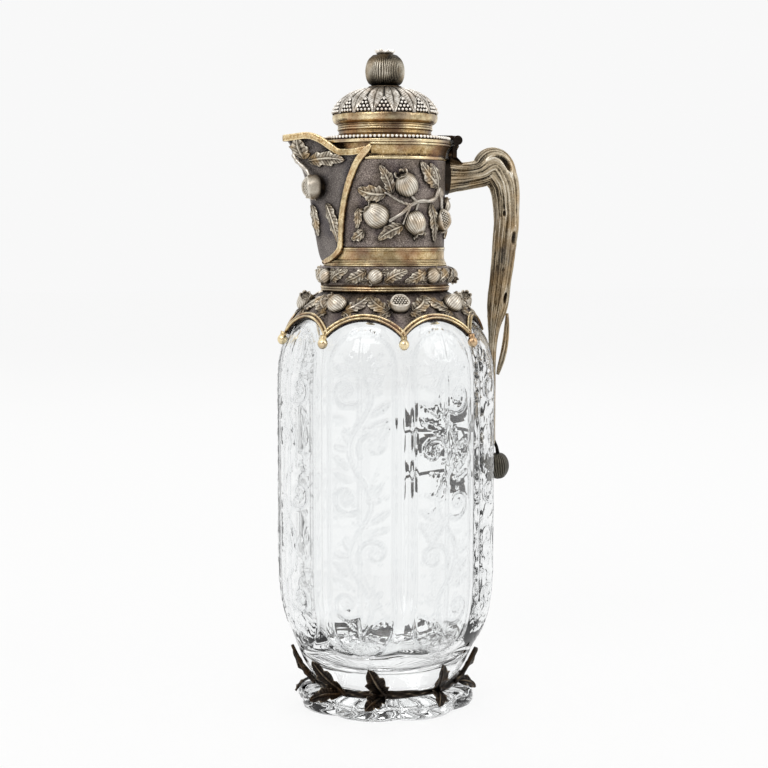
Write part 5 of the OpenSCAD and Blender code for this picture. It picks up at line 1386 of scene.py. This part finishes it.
def bark(path, radii, knots, furrows, around, seed):
    # Furrows are sines round the branch whose phase drifts along it; each knot is a sunk oval with a raised rim
    # that pushes the furrows aside. Returns the relief and the lift over (along, round).
    steps = np.linalg.norm(np.diff(path, axis=0), axis=1)
    along = np.concatenate([[0], np.cumsum(steps)])[:, None]
    total = along[-1, 0]
    q = (np.arange(around) * 2 * np.pi / around)[None]
    girth = radii.mean(1)[:, None]
    warp, sink, rim, hole = 0 * q * along, 0 * q * along, 0 * q * along, 0 * q * along
    for place, angle, halfLong, halfWide, deep in knots:
        da = (q - np.radians(angle) + np.pi) % (2 * np.pi) - np.pi
        ds = along - place * total
        d = np.sqrt((ds / halfLong) ** 2 + (da * girth / halfWide) ** 2)
        warp = warp + 0.5 * np.sign(da) * bump(d, 1.9) * halfWide / girth
        sink = sink + deep * smooth((1.1 - d) / 0.6)
        rim = rim + 0.34 * halfWide * bump(d - 1.45, 0.4)
        hole = np.maximum(hole, smooth((1.15 - d) / 0.35))
    phase = q - warp
    ridges = 0
    for k, (count, high) in enumerate(furrows):
        drift = 1.2 * np.sin(along / (19 + 7 * k) + seed + k)
        drift = drift + 0.8 * np.sin(along / (8.3 + k) + 2 * k + 0.7 * phase)
        ridges = ridges + high * (1 - 2 * np.abs(np.sin(count * phase / 2 + drift)) ** 0.8)
    nick = np.clip(waves(q * 9, along * 0.8, seed + 30, 8) - 0.35, 0, 1)
    fade = np.clip(girth / 5.5, 0.25, 1)
    relief = fade * (0.75 * ridges - 0.5 * nick) * (1 - hole) - sink + rim * fade
    lift = np.clip(0.62 + 0.95 * ridges + 0.6 * rim - 0.9 * nick, 0, 1) * (1 - hole)
    shade = 0.16 * waves(q * 1.5, along / 9, seed + 40)
    return relief, np.clip(lift + shade * (1 - hole), 0, 1)


def branchPiece(style, steps, around, seed):
    # an oval tube in the plane of the handle, with the bark's relief added to both of its half sizes
    dense = spline(np.array(style["rows"]) + [grip, root, 0, 0], steps)
    path = np.stack([dense[:, 0], 0 * dense[:, 0], dense[:, 1]], 1)
    relief, lift = bark(path, dense[:, 2:], style["knots"], style["furrows"], around, seed)
    way = unit(np.gradient(path, axis=0))
    outWay = np.stack([-way[:, 2], 0 * way[:, 0], way[:, 0]], 1)
    q = (np.arange(around) * 2 * np.pi / around)[None]
    wide, tall = dense[:, 2:3] + relief, dense[:, 3:4] + relief
    points = (path[:, None] + (wide * np.sin(q))[..., None] * outWay[:, None]
              + (tall * np.cos(q))[..., None] * np.array([0, -1.0, 0]))
    return surface(points, lift, size=(40, 160))


def handleFruit():
    # a long fruit where the frame's is, and its stalk from the end of the branch
    low, high = (np.array(corner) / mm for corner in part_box("handle_fruit"))
    at, radius = (low + high) / 2, (high[2] - low[2]) / 2
    stalk = [(grip - 6.4, 0, root - 129), (at[0] - 0.6, 0, at[2] + radius * 1.6), (at[0], 0, at[2] + radius)]
    parts = fruit(at, (0.1, 0, -1), radius * 0.97, cut=dict(fruitCut, long=1.2), seed=2, hasCrown=False)
    return parts + [tube(stalk, [0.9, 0.8, 1.0], 12, side=(0, 1, 0), lift=0.4)]


makePiece("handleBranch", [branchPiece(branch, 24, 160, 2)], finish["barkSilver"], "jug", ["handle_branch"])
makePiece("handleShoot", [branchPiece(shoot, 16, 48, 6)], finish["barkSilver"], "jug", ["handle_shoot"])
makePiece("handleFruit", handleFruit(), finish["blackFruit"], "jug", ["handle_fruit"])


def glassRadius(a, z):
    # the outside of the glass: the lobe of a pillar whose radius closes over its top as a superellipse
    a, z = np.asarray(a, float), np.asarray(z, float)
    low, high = glass["arch"]
    return lobeRadius(22.5 - a % 45, cap(glass["pillarR"], (z - low) / (high - low), 3))


# the spray on the back of the glass: [angle, height] along its stems, and base, tip and width of its leaves
backSpray = {
    "stems": [[(6, 142), (15, 137.5), (24, 134.5), (34, 132), (42, 130), (48, 129.3), (57, 128), (67, 128)],
              [(8, 127), (16, 120), (25, 115), (35, 110.5), (42, 108), (48, 106), (57, 103.5), (66, 102)]],
    "leaves": [((5, 168), (20, 175), 9), ((6, 152), (21, 159), 9), ((14, 140.5), (27, 147.5), 9),
               ((19, 132.5), (32, 124), 8.5), ((34, 134.8), (43, 145), 8), ((39, 127.5), (49, 117.5), 8),
               ((51, 131.8), (62, 140.5), 8), ((57, 125.2), (68, 117), 7.5), ((69, 129.5), (79, 134), 6.5),
               ((12, 119), (7, 106), 8), ((29, 116.5), (41, 119), 6.5), ((33, 108), (40, 97), 8),
               ((52, 108.2), (63, 112), 6), ((56, 100.5), (66, 92), 7.5)],
    "off": 1.2,    # how far the stems stand off the glass
}


def handleSpray():
    # Thin stems that follow the glass, free leaves over it, and a stalk from each leaf to the nearest place on
    # the stems or the foot of the branch.
    parts, lines = [], [np.array([[grip - 6.9, 0.6, z] for z in np.linspace(144, 172, 20)])]
    for line in backSpray["stems"]:
        a, z = spline(line, 6).T
        k = np.linspace(0, 1, len(a))
        path = polar(a, glassRadius(a, z) + backSpray["off"], z)
        lines.append(path)
        rough = 0.1 * waves(np.arange(12)[None] * 1.7, k[:, None] * 40, 9)
        parts.append(tube(path, 1.05 - 0.4 * k, 12, relief=rough, lift=0.4))
    lines = np.vstack(lines)
    for (a0, z0), (a1, z1), width in backSpray["leaves"]:
        base = polar(a0, glassRadius(a0, z0) + backSpray["off"], z0)
        tip = polar(a1, glassRadius(a1, z1) + backSpray["off"] + 0.2, z1)
        parts.append(leaf(hang(base, tip, polar(a1, 1, 0), 1.1), width, 0.5, thin=0.9, curl=0.6))
        way = unit(tip - base)
        foot = lines[np.argmin(np.linalg.norm(lines - base + way * 2, axis=1))]
        stalk = [foot, (foot + base) / 2 + unit(base) * 0.2, base + way * 0.8]
        parts.append(tube(stalk, [0.65, 0.5, 0.42], 10, lift=0.4))
    return parts


makePiece("handleLeaves", handleSpray(), finish["blackLeaf"], "jug", ["handle_leaves"])


def hingeScroll():
    # The black scroll that carries the hinge: an outline of (x, z) that hugs the flare of the rim and sweeps out
    # to the handle in a hollow curve, carried across y, its width waving and its face raised in lobes.
    pinRadius = 0.9
    axisX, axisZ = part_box("hinge_pin")[0].x / mm + pinRadius, lowOf("hinge_pin") + pinRadius
    low = collarTop - 0.2
    outer = spline([(axisX - 0.2, axisZ - 1.9), (axisX + 0.5, axisZ - 3.4), (axisX - 1.4, axisZ - 6.2),
                    (axisX - 1.9, axisZ - 8.6), (axisX - 0.6, low + 1.2), (axisX + 3.2, low - 0.6)], 8)
    inner = spline([(axisX + 2.6, low - 1.2), (31.2, low - 0.8), (30.4, low + 2.2), (31.0, low + 5.4),
                    (32.2, axisZ - 3.4), (axisX - 1.6, axisZ - 1.9)], 4)
    line = np.vstack([outer, inner])
    across = np.linspace(-1, 1, 41)[:, None]
    height = (line[:, 1] - low) / (axisZ - low)
    half = 4.2 + 2.6 * smooth(height / 0.9) + 0.7 * np.sin(height * 11)
    lobes = 0.35 * np.cos(across * 9) * np.sin(line[None, :, 1] * 1.3)
    x = line[None, :, 0] + lobes * (np.arange(len(line)) < len(outer))[None]
    points = np.stack([x, across * half[None], line[None, :, 1] + 0 * x], -1)
    return surface(points, np.clip(0.4 + lobes, 0, 1), size=(20, 12))


makePiece("hingeScroll", [hingeScroll()], finish["blackSilver"], "jug", [])
print("handle made")


# ---- wreath round the waist ----
wreath = {
    "radius": 34.9, "z": 10.9, "thick": 1.75,
    # each pair of leaves: its angle, and how many degrees it leans
    "pairs": [(171, 9), (226, -16), (259, -9), (305, -8), (337, 9), (12, 9), (52, -12), (92, 9), (132, -10)],
    "twigs": (184, 330, 30, 110),
}
wreathOut = wreath["radius"] + wreath["thick"]
hollyCut = {"teeth": 3, "bite": 0.36, "rib": 0.4, "full": 1.25}


def wreathBranch():
    # a ring that wanders a little in radius and height, its thickness swelling, with ridges that twist round it
    angle = np.linspace(0, 2 * np.pi, 481)[:-1]
    radius = wreath["radius"] + 0.25 * np.sin(angle * 5)
    path = np.stack([radius * np.cos(angle), radius * np.sin(angle), wreath["z"] + 0.3 * np.sin(angle * 4 + 2)], 1)
    q = (np.arange(20) * 2 * np.pi / 20)[None]
    ridges = 0.5 - np.abs(np.sin(2.5 * q + 0.8 * np.sin(angle[:, None] * 23)))
    rough = waves(q * 2, angle[:, None] * 60, 3)
    swell = 1 + 0.16 * np.sin(angle * 3 + 1) + 0.12 * np.sin(angle * 7 + 0.4)
    r = (wreath["thick"] * swell)[:, None] + 0.22 * ridges + 0.16 * rough
    out, up = unit(path * [1, 1, 0])[:, None], np.array([0, 0, 1.0])
    points = path[:, None] + (r * np.cos(q))[..., None] * out + (r * np.sin(q))[..., None] * up
    return surface(points, np.clip(0.36 + 0.5 * ridges + 0.35 * rough, 0, 1), loop=True, size=(10, 220))


def wreathPair(a, lean):
    # a leaf that stands up along the glass and one that lies over the foot: the leaves, and their short stalk
    sign, z = (1 if lean > 0 else -1), wreath["z"]
    up = hang(polar(a, wreathOut - 0.4, z + 0.8), polar(a + lean, wreathOut + 9.2, 26.2),
              polar(a + lean / 2, 1, -0.9), 0.9, 0.5 * sign)
    down = hang(polar(a, wreathOut - 0.2, z - 0.4), polar(a + lean * 1.25, 45.2, 6.0), polar(a + lean / 2, 0.6, 1),
                1.2, -0.4 * sign)
    leaves = [leaf(place, width, 0.5, hollyCut, thin=0.8, curl=1.6, shade=0.28)
              for place, width in ((up, 8.8), (down, 7.6))]
    stalk = [polar(a + 2, wreathOut - 1.6, z), polar(a + 0.6, wreathOut + 0.4, z + 0.6),
             polar(a + lean * 0.2, wreathOut + 1.8, z + 3.2)]
    return leaves, tube(stalk, [1.3, 1.1, 0.5], 12, lift=0.4)


def wreathTwig(a):
    # a bare twig that climbs beside the glass, with two joints where it thickens
    path = spline([polar(a + 3, wreathOut - 0.6, wreath["z"]), polar(a + 1, wreathOut + 2.8, 15),
                   polar(a, wreathOut + 5.4, 19), polar(a, wreathOut + 8.2, 24.6),
                   polar(a, wreathOut + 10.4, 29.6)], 8)
    k = np.linspace(0, 1, len(path))
    radius = 1.5 - 0.75 * k + 0.3 * bump(k - 0.3, 0.05) + 0.25 * bump(k - 0.6, 0.04)
    rough = waves(np.arange(14)[None] * 1.7, k[:, None] * 24, a)
    return tube(path, radius, 14, relief=0.12 * rough, lift=np.clip(0.35 + 0.4 * rough, 0, 1))


wreathPairs = [wreathPair(*pair) for pair in wreath["pairs"]]
wreathTwigs = [stalk for _, stalk in wreathPairs] + [wreathTwig(a) for a in wreath["twigs"]]
makePiece("wreathBranch", [wreathBranch()], finish["blackSilver"], "jug", ["wreath_branch"])
makePiece("wreathLeaves", [one for leaves, _ in wreathPairs for one in leaves], finish["blackLeaf"], "jug",
          ["wreath_leaves"])
makePiece("wreathTwigs", wreathTwigs, finish["blackSilver"], "jug", ["wreath_twigs"])
print("wreath made")


# ---- lid ----
lid = {"r": 31.9, "hole": 21.0, "bezel": 26.0, "plate": 3.4, "bead": 0.95, "beadCount": 96, "leaves": 16,
       "flat": 31.4, "flatHalf": 8.6}    # flat: where the plate's edge is pressed straight beside the hinge
beadR, beadZ = lid["r"] - 0.6, lidFoot + 1.75 + lid["bead"]
plateTall, bandHigh = lidBandFoot - lidFoot, domeFoot - lidBandFoot
lidProfiles = {
    # (radius, height over the turned piece's own foot, lift)
    "plate": [(lid["hole"], 1.9, 0), (lid["bezel"], 1.9, 0), (lid["bezel"], 0, 0.2), (lid["r"] - 0.3, 0, 0.4),
              (lid["r"], 0.4, 0.9), (lid["r"], 1.3, 0.8), (lid["r"] - 0.3, 1.65, 0.2), (beadR - 1.0, 1.7, 0.0),
              (beadR - 1.05, lid["plate"] - 0.6, 0.1), (beadR - 1.5, lid["plate"], 0.75),
              (27.2, lid["plate"] + 0.05, 0.5), (25.6, lid["plate"] + 0.25, 0.3), (24.2, lid["plate"] + 0.7, 0.3),
              (23.3, plateTall - 0.35, 0.25), (22.6, plateTall, 0.5), (lid["hole"], plateTall, 0)],
    "band": [(lid["hole"], 0, 0), (22.6, 0, 0.3), (22.5, 0.5, 0.5), (22.4, 1.5, 0.45), (22.5, 1.75, 0.1),
             (23.1, 2.1, 0.9), (23.15, 2.7, 1.0), (22.8, 3.05, 0.1), (22.9, 3.3, 0.7), (22.9, 3.9, 0.8),
             (22.7, 4.15, 0.1), (23.2, 4.45, 0.9), (23.2, bandHigh, 0.6), (lid["hole"], bandHigh, 0)],
    "domeEdge": [(21.2, 0, 0), (23.3, 0, 0.2), (24.0, 0.35, 0.5), (24.9, 1.1, 0.75), (25.35, 2.2, 0.85),
                 (25.5, 3.4, 0.75), (25.4, 4.3, 0.7), (25.1, 4.8, 0.3), (24.4, 4.6, 0.0), (21.2, 1.4, 0)],
}


def lidPlate():
    # the turned plate, its edge pressed straight beside the hinge
    part = lathe(above(lidFoot, lidProfiles["plate"]), 0.2, wobble=0.03, seed=7)
    v = part["verts"]
    near = (np.abs(v[:, 1]) < lid["flatHalf"]) & (v[:, 0] > 0)
    v[:, 0] = np.where(near, np.minimum(v[:, 0], lid["flat"]), v[:, 0])
    return part


def lidBeads():
    # beads all round but beside the hinge
    gap = math.degrees(math.asin(9.4 / lid["r"]))
    angle = np.arange(lid["beadCount"]) * 360 / lid["beadCount"]
    angle = angle[(angle > gap) & (angle < 360 - gap)]
    return balls(polar(angle, beadR, beadZ), lid["bead"] * 0.82, 12, 7)


makePiece("lidPlate", [lidPlate()], finish["gilt"], "lid", ["lid_plate"])
makePiece("lidBeads", [lidBeads()], finish["brightSilver"], "lid", ["lid_beads"])
makePiece("lidBand", [lathe(above(lidBandFoot, lidProfiles["band"]), 0.15, wobble=0.03, seed=9)], finish["gilt"],
          "lid", ["lid_band"])


def domeShell():
    # the dark dome under the leaves, with its hollow inside; its gilt edge is a piece of its own
    q = np.linspace(2, 84, 40)[:, None]
    angle = (np.arange(256) * 360 / 256)[None]
    outer = polar(angle, *domePoint(q, 0.0))
    inner = polar(angle, *domePoint(np.linspace(80, 2, 14)[:, None], -1.0))
    foot = polar(angle, np.array([[21.0], [24.4]]), np.array([[domeFoot + 1.4], [domeFoot + 2.6]]))
    points = np.concatenate([outer, inner, foot])
    lifts = np.concatenate([0.1 + 0 * outer[..., 0], 0.2 + 0 * inner[..., 0], 0.2 + 0 * foot[..., 0]])
    return surface(points, lifts, loop=True, size=(150, 40))


makePiece("domeShell", [domeShell()], finish["mattedSilver"], "lid", ["lid_dome"])
makePiece("domeEdge", [lathe(above(domeFoot, lidProfiles["domeEdge"]), 0.3, wobble=0.06, seed=11)], finish["gilt"],
          "lid", [])

domeWork = {
    # how much of its sixteenth a leaf fills, along its length
    "along": [0, 0.12, 0.3, 0.52, 0.62, 0.73, 0.85, 0.93, 1],
    "share": [0.86, 0.94, 0.97, 0.97, 0.84, 0.64, 0.4, 0.25, 0.16],
    # the bunches between the leaves: (degrees above the edge, grains in the row), their spacing and radius
    "rows": [(27.6, 1), (21.2, 2), (14.8, 3), (8.6, 4)], "spacing": 4.3, "grain": 0.7,
    "cord": [33, 30, 5],    # degrees above the edge of the cord round a bunch: its top, its bend and its foot
}
leafStep = 360 / lid["leaves"]


def domeLeaf(middle):
    # One leaf of the dome over q, its degrees above the edge: it starts narrow under the finial, fills its
    # sixteenth above the grains and tapers to a point between two bunches. A midrib groove, side veins.
    k = np.linspace(0, 1, 44)[:, None]
    q = 70 - 66 * k
    s = np.linspace(-1, 1, 17)[None]
    a = middle + 0.5 * leafStep * np.interp(k, domeWork["along"], domeWork["share"]) * s
    fan = (0.5 + 0.5 * np.cos(2 * np.pi * (k * 15 - 1.6 * np.abs(s)))) ** 2 * smooth(np.abs(s) * 4) * smooth(k * 4)
    mid = bump(s, 0.09)
    crest = 0.62 * (1 - 0.62 * np.abs(s) ** 2.4) - 0.42 * mid - 0.1 * fan + 0.1
    h = crest * (0.55 + 0.45 * smooth(k * 5)) + 0.25 * k
    top = onDome(a, q + 0 * s, h)
    under = onDome(a, q + 0 * s, 0 * h - 0.3)
    grain = 0.3 * waves(a / 1.1, q / 2.2 + 0 * s, 23)
    # the lift: dark in the midrib, the veins and at the edges, with painted shade where the leaf runs in under the
    # finial
    shine = np.clip(0.8 + grain - 0.8 * mid * smooth(k * 8) - 0.34 * fan - 0.75 * smooth((np.abs(s) - 0.8) / 0.2)
                    - 0.5 * smooth((0.1 - k) / 0.1), 0, 1)
    return surface(np.concatenate([top, under[:, ::-1]], 1), np.concatenate([shine, 0 * shine], 1), size=(8, 30))


def domeGrains():
    # a triangle of grains between each two leaves
    places = [onDome(np.array([(i + 0.5) * leafStep + (k - (count - 1) / 2) * domeWork["spacing"]]), q, 0.6)
              for i in range(lid["leaves"]) for q, count in domeWork["rows"] for k in range(count)]
    return balls(np.vstack(places), domeWork["grain"], 10, 6)


def domeCord(middle):
    # the frame of one bunch: a thin cord up one side and down the other
    k = np.linspace(-1, 1, 25)
    a = middle + np.sign(k) * 0.5 * leafStep * np.interp(np.abs(k), [0, 0.25, 1], [0.0, 0.32, 0.93])
    q = np.interp(np.abs(k), [0, 0.18, 1], domeWork["cord"])
    path = onDome(a, q, 0.35)
    return tube(path, 0.28, 6, side=onDome(a, q, 1.4) - path, lift=0.8)


makePiece("domeLeaves", [domeLeaf(k * leafStep) for k in range(lid["leaves"])], finish["brightSilver"], "lid",
          ["lid_dome_leaves"])
makePiece("domeGrains", [domeGrains()], finish["brightSilver"], "lid", ["lid_grains"])
makePiece("domeTrim", [domeCord((k + 0.5) * leafStep) for k in range(lid["leaves"])], finish["brightSilver"], "lid",
          [])

# ---- finial ----
finial = {"radius": 9.5, "z": 309.05, "top": lowOf("finial_crown"), "foot": lowOf("finial_fruit"), "ribs": 58,
          "power": 2.12, "seat": lowOf("finial_seat")}
seatTall = finial["foot"] - finial["seat"]
seatProfile = [(1.7, 0.6, 0), (8.0, 0, 0.3), (8.3, 0.4, 0.6), (7.9, 0.9, 0.5), (6.9, seatTall - 0.1, 0.1),
               (1.7, seatTall, 0)]
makePiece("finialSeat", [lathe(above(finial["seat"], seatProfile), 0.2, around=96)], finish["blackSilver"], "lid",
          ["finial_seat"])


def finialFruit():
    # a squared ball, r^n + z^n = R^n, its skin drawn into upright strands that waver and fork
    top, foot, mid = finial["top"], finial["foot"], finial["z"]
    z = mid + (top + 0.3 - mid) * np.sin(np.linspace(-np.pi / 2, np.pi / 2, 56))
    z = np.where(z < mid, mid + (z - mid) * (mid - foot) / (top + 0.3 - mid), z)
    p = finial["power"]
    r = 0.965 * finial["radius"] * np.maximum(1 - np.abs((z - mid) / (finial["radius"] * 1.02)) ** p, 0) ** (1 / p)
    r = r * (0.93 + 0.07 * smooth((z - foot) / 1.2))
    q = (np.arange(264) * 2 * np.pi / 264)[None]
    zz = z[:, None]
    drift = 0.3 * np.sin(q * 3 + zz / 3) + 2.2 * waves(q * 4, zz / 2.2, 17)
    strand = np.abs(np.sin(finial["ribs"] * q / 2 + drift))
    r = r[:, None] + 0.26 * strand * smooth((zz - foot) / 2) * smooth((top - zz) / 1.5) + 0.18 * np.cos(6 * q)
    light = 0.1 + 0.8 * strand ** 1.8 + 0.5 * waves(q * 4, zz / 4, 19)
    # painted shade: darker towards the foot on its seat and under the crown
    dark = smooth((foot + 5.6 - zz) / 4.6) + smooth((zz - top + 5.0) / 4.6)
    points = np.stack([r * np.cos(q), r * np.sin(q), zz + 0 * q], -1)
    return surface(points, np.clip(light * (1 - 0.85 * np.clip(dark, 0, 1)), 0, 1), size=(60, 20))


def finialCrown():
    # a flaring cup whose edge rises and curls in irregular sepals
    h = highOf("finial_crown") - finial["top"]
    q = np.arange(96) * 2 * np.pi / 96
    point = 0.5 + 0.5 * np.cos(9 * q + 1.2 * np.sin(2 * q)) * (0.7 + 0.3 * np.cos(4 * q + 1))
    # radius, height, share of the sepals' height, lift
    rows = [(3.6, -0.6, 0, 0.0), (3.7, 0.1, 0.0, 0.1), (3.9, 0.3, 0.2, 0.3), (4.5, 0.3, 0.5, 0.9),
            (4.8, 0.2, 0.85, 1.0), (4.3, 0.2, 1.0, 1.0), (3.4, 0.2, 0.9, 0.95), (2.8, 0.4, 0.4, 0.2),
            (2.3, 0.7, 0.1, 0.0), (1.5, 1.3, 0.2, 0.5), (0.6, 1.9, 0.2, 0.95)]
    points, lifts = [], []
    for r, low, up, shine in rows:
        radius = r * (1 + 0.1 * (r > 4) * (point - 0.5) + 0.02 * np.sin(5 * q))
        z = finial["top"] + low + h * 0.86 * up * (0.62 + 0.38 * point)
        points.append(np.stack([radius * np.cos(q), radius * np.sin(q), z], -1))
        lifts.append(np.full(96, shine))
    return surface(np.array(points), np.array(lifts), size=(8, 6))


makePiece("finialFruit", [finialFruit()], finish["finialSilver"], "lid", ["finial_fruit"])
makePiece("finialCrown", [finialCrown()], finish["brightSilver"], "lid", ["finial_crown"])
print("lid made")


# ---- what stays as it comes from the frame ----
kept = {"neck_plaster": plaster, "handle_pad": plainDark, "hinge_bracket": plainDark, "hinge_strap": plainDark,
        "hinge_pin": plainDark, "finial_screw": plainSilver, "finial_nut": plainSilver, "lid_bezel": plainGilt}
for name, material in kept.items():
    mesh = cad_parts[name].data
    mesh.materials.clear()
    mesh.materials.append(material)

# ---- floor, lamps, world and camera ----
# Each lamp has its place, its size and its power. dark is how bright the room behind the camera is.
studio = {"floor": (244, 244, 243), "ambient": 0.62, "white": 0.94, "floorGlow": 1.01, "floorShare": 0.82,
          "roomTint": (1.0, 0.86, 0.8, 1), "dark": 0.34, "target": (0, 0, 0.17),
          "lamps": [((-0.9, -1.1, 1.3), 0.9, 9.0), ((1.2, -0.7, 0.9), 0.7, 3.5), ((0.2, 1.2, 1.4), 1.0, 5.0)]}
floorMesh = bpy.data.meshes.new("floor")
floorMesh.from_pydata([(-6, -6, 0), (6, -6, 0), (6, 6, 0), (-6, 6, 0)], [], [(0, 1, 2, 3)])
floor = bpy.data.objects.new("floor", floorMesh)
bpy.context.scene.collection.objects.link(floor)
floorMaterial, tree, shader, out = newMaterial("floorPaper")
shader.inputs["Base Color"].default_value = tone(*studio["floor"])
shader.inputs["Roughness"].default_value = 0.8
rays = node(tree, "LightPath")
seen = calc(tree, "ADD", rays.outputs["Is Camera Ray"], calc(tree, "ADD", rays.outputs["Is Glossy Ray"],
            rays.outputs["Is Transmission Ray"]), clamp=True)
glow = node(tree, "Emission", {0: (1, 1, 1, 1), 1: studio["floorGlow"]})
mixed = node(tree, "MixShader", {0: calc(tree, "MULTIPLY", seen, studio["floorShare"]), 1: shader.outputs[0],
                                 2: glow.outputs[0]})
tree.links.new(mixed.outputs[0], out.inputs["Surface"])
floorMesh.materials.append(floorMaterial)

world = bpy.data.worlds.new("studio")
bpy.context.scene.world = world
world.use_nodes = True
tree = world.node_tree
tree.nodes.clear()
rays = node(tree, "LightPath")
seen = calc(tree, "ADD", rays.outputs["Is Glossy Ray"], rays.outputs["Is Transmission Ray"], clamp=True)
# the room behind the camera is darker than the white sweep in front of it, and metal and glass show both
way = node(tree, "TexCoord").outputs["Generated"]
facing = node(tree, "VectorMath", {0: way, 1: (-0.17, -0.95, -0.05)}, operation="DOT_PRODUCT").outputs["Value"]
room = between(tree, facing, 0.35, 0.85, 1.0, studio["dark"])
shown = calc(tree, "MULTIPLY", room, studio["white"] * 1.02)
roomColour = blendColour(tree, room, studio["roomTint"], (1, 1, 1, 1))
ambient = node(tree, "Background", {0: (1, 1, 1, 1), 1: studio["ambient"]})
inReflections = node(tree, "Background", {0: roomColour, 1: shown})
behindJug = node(tree, "Background", {0: (1, 1, 1, 1), 1: studio["white"]})
first = node(tree, "MixShader", {0: seen, 1: ambient.outputs[0], 2: inReflections.outputs[0]})
second = node(tree, "MixShader", {0: rays.outputs["Is Camera Ray"], 1: first.outputs[0], 2: behindJug.outputs[0]})
node(tree, "OutputWorld", {0: second.outputs[0]})

for k, (place, size, power) in enumerate(studio["lamps"]):
    data = bpy.data.lights.new(f"softbox{k}", "AREA")
    data.shape, data.size, data.energy = "SQUARE", size, power
    lamp = bpy.data.objects.new(f"softbox{k}", data)
    bpy.context.scene.collection.objects.link(lamp)
    lamp.location = place
    toward = np.array(studio["target"]) - np.array(place)
    lamp.rotation_euler = Vector(toward).to_track_quat("-Z", "Y").to_euler()

view = {"azimuth": -10.0, "distance": 784.0, "eye": 230.0, "pitch": 5.285, "focalPixels": 1600.0,
        "imagePixels": 768, "shiftPixels": -1.0}
cameraData = bpy.data.cameras.new("camera")
cameraData.sensor_width = 36
cameraData.lens = 36 * view["focalPixels"] / view["imagePixels"]
cameraData.shift_x = view["shiftPixels"] / view["imagePixels"]
cameraData.clip_start, cameraData.clip_end = 0.05, 50
camera = bpy.data.objects.new("camera", cameraData)
bpy.context.scene.collection.objects.link(camera)
turn = math.radians(view["azimuth"])
camera.location = [v * mm for v in (math.sin(turn) * view["distance"], -math.cos(turn) * view["distance"],
                                    view["eye"])]
camera.rotation_euler = (math.radians(90 - view["pitch"]), 0, turn)
bpy.context.scene.camera = camera
bpy.context.scene.view_settings.view_transform = "Standard"
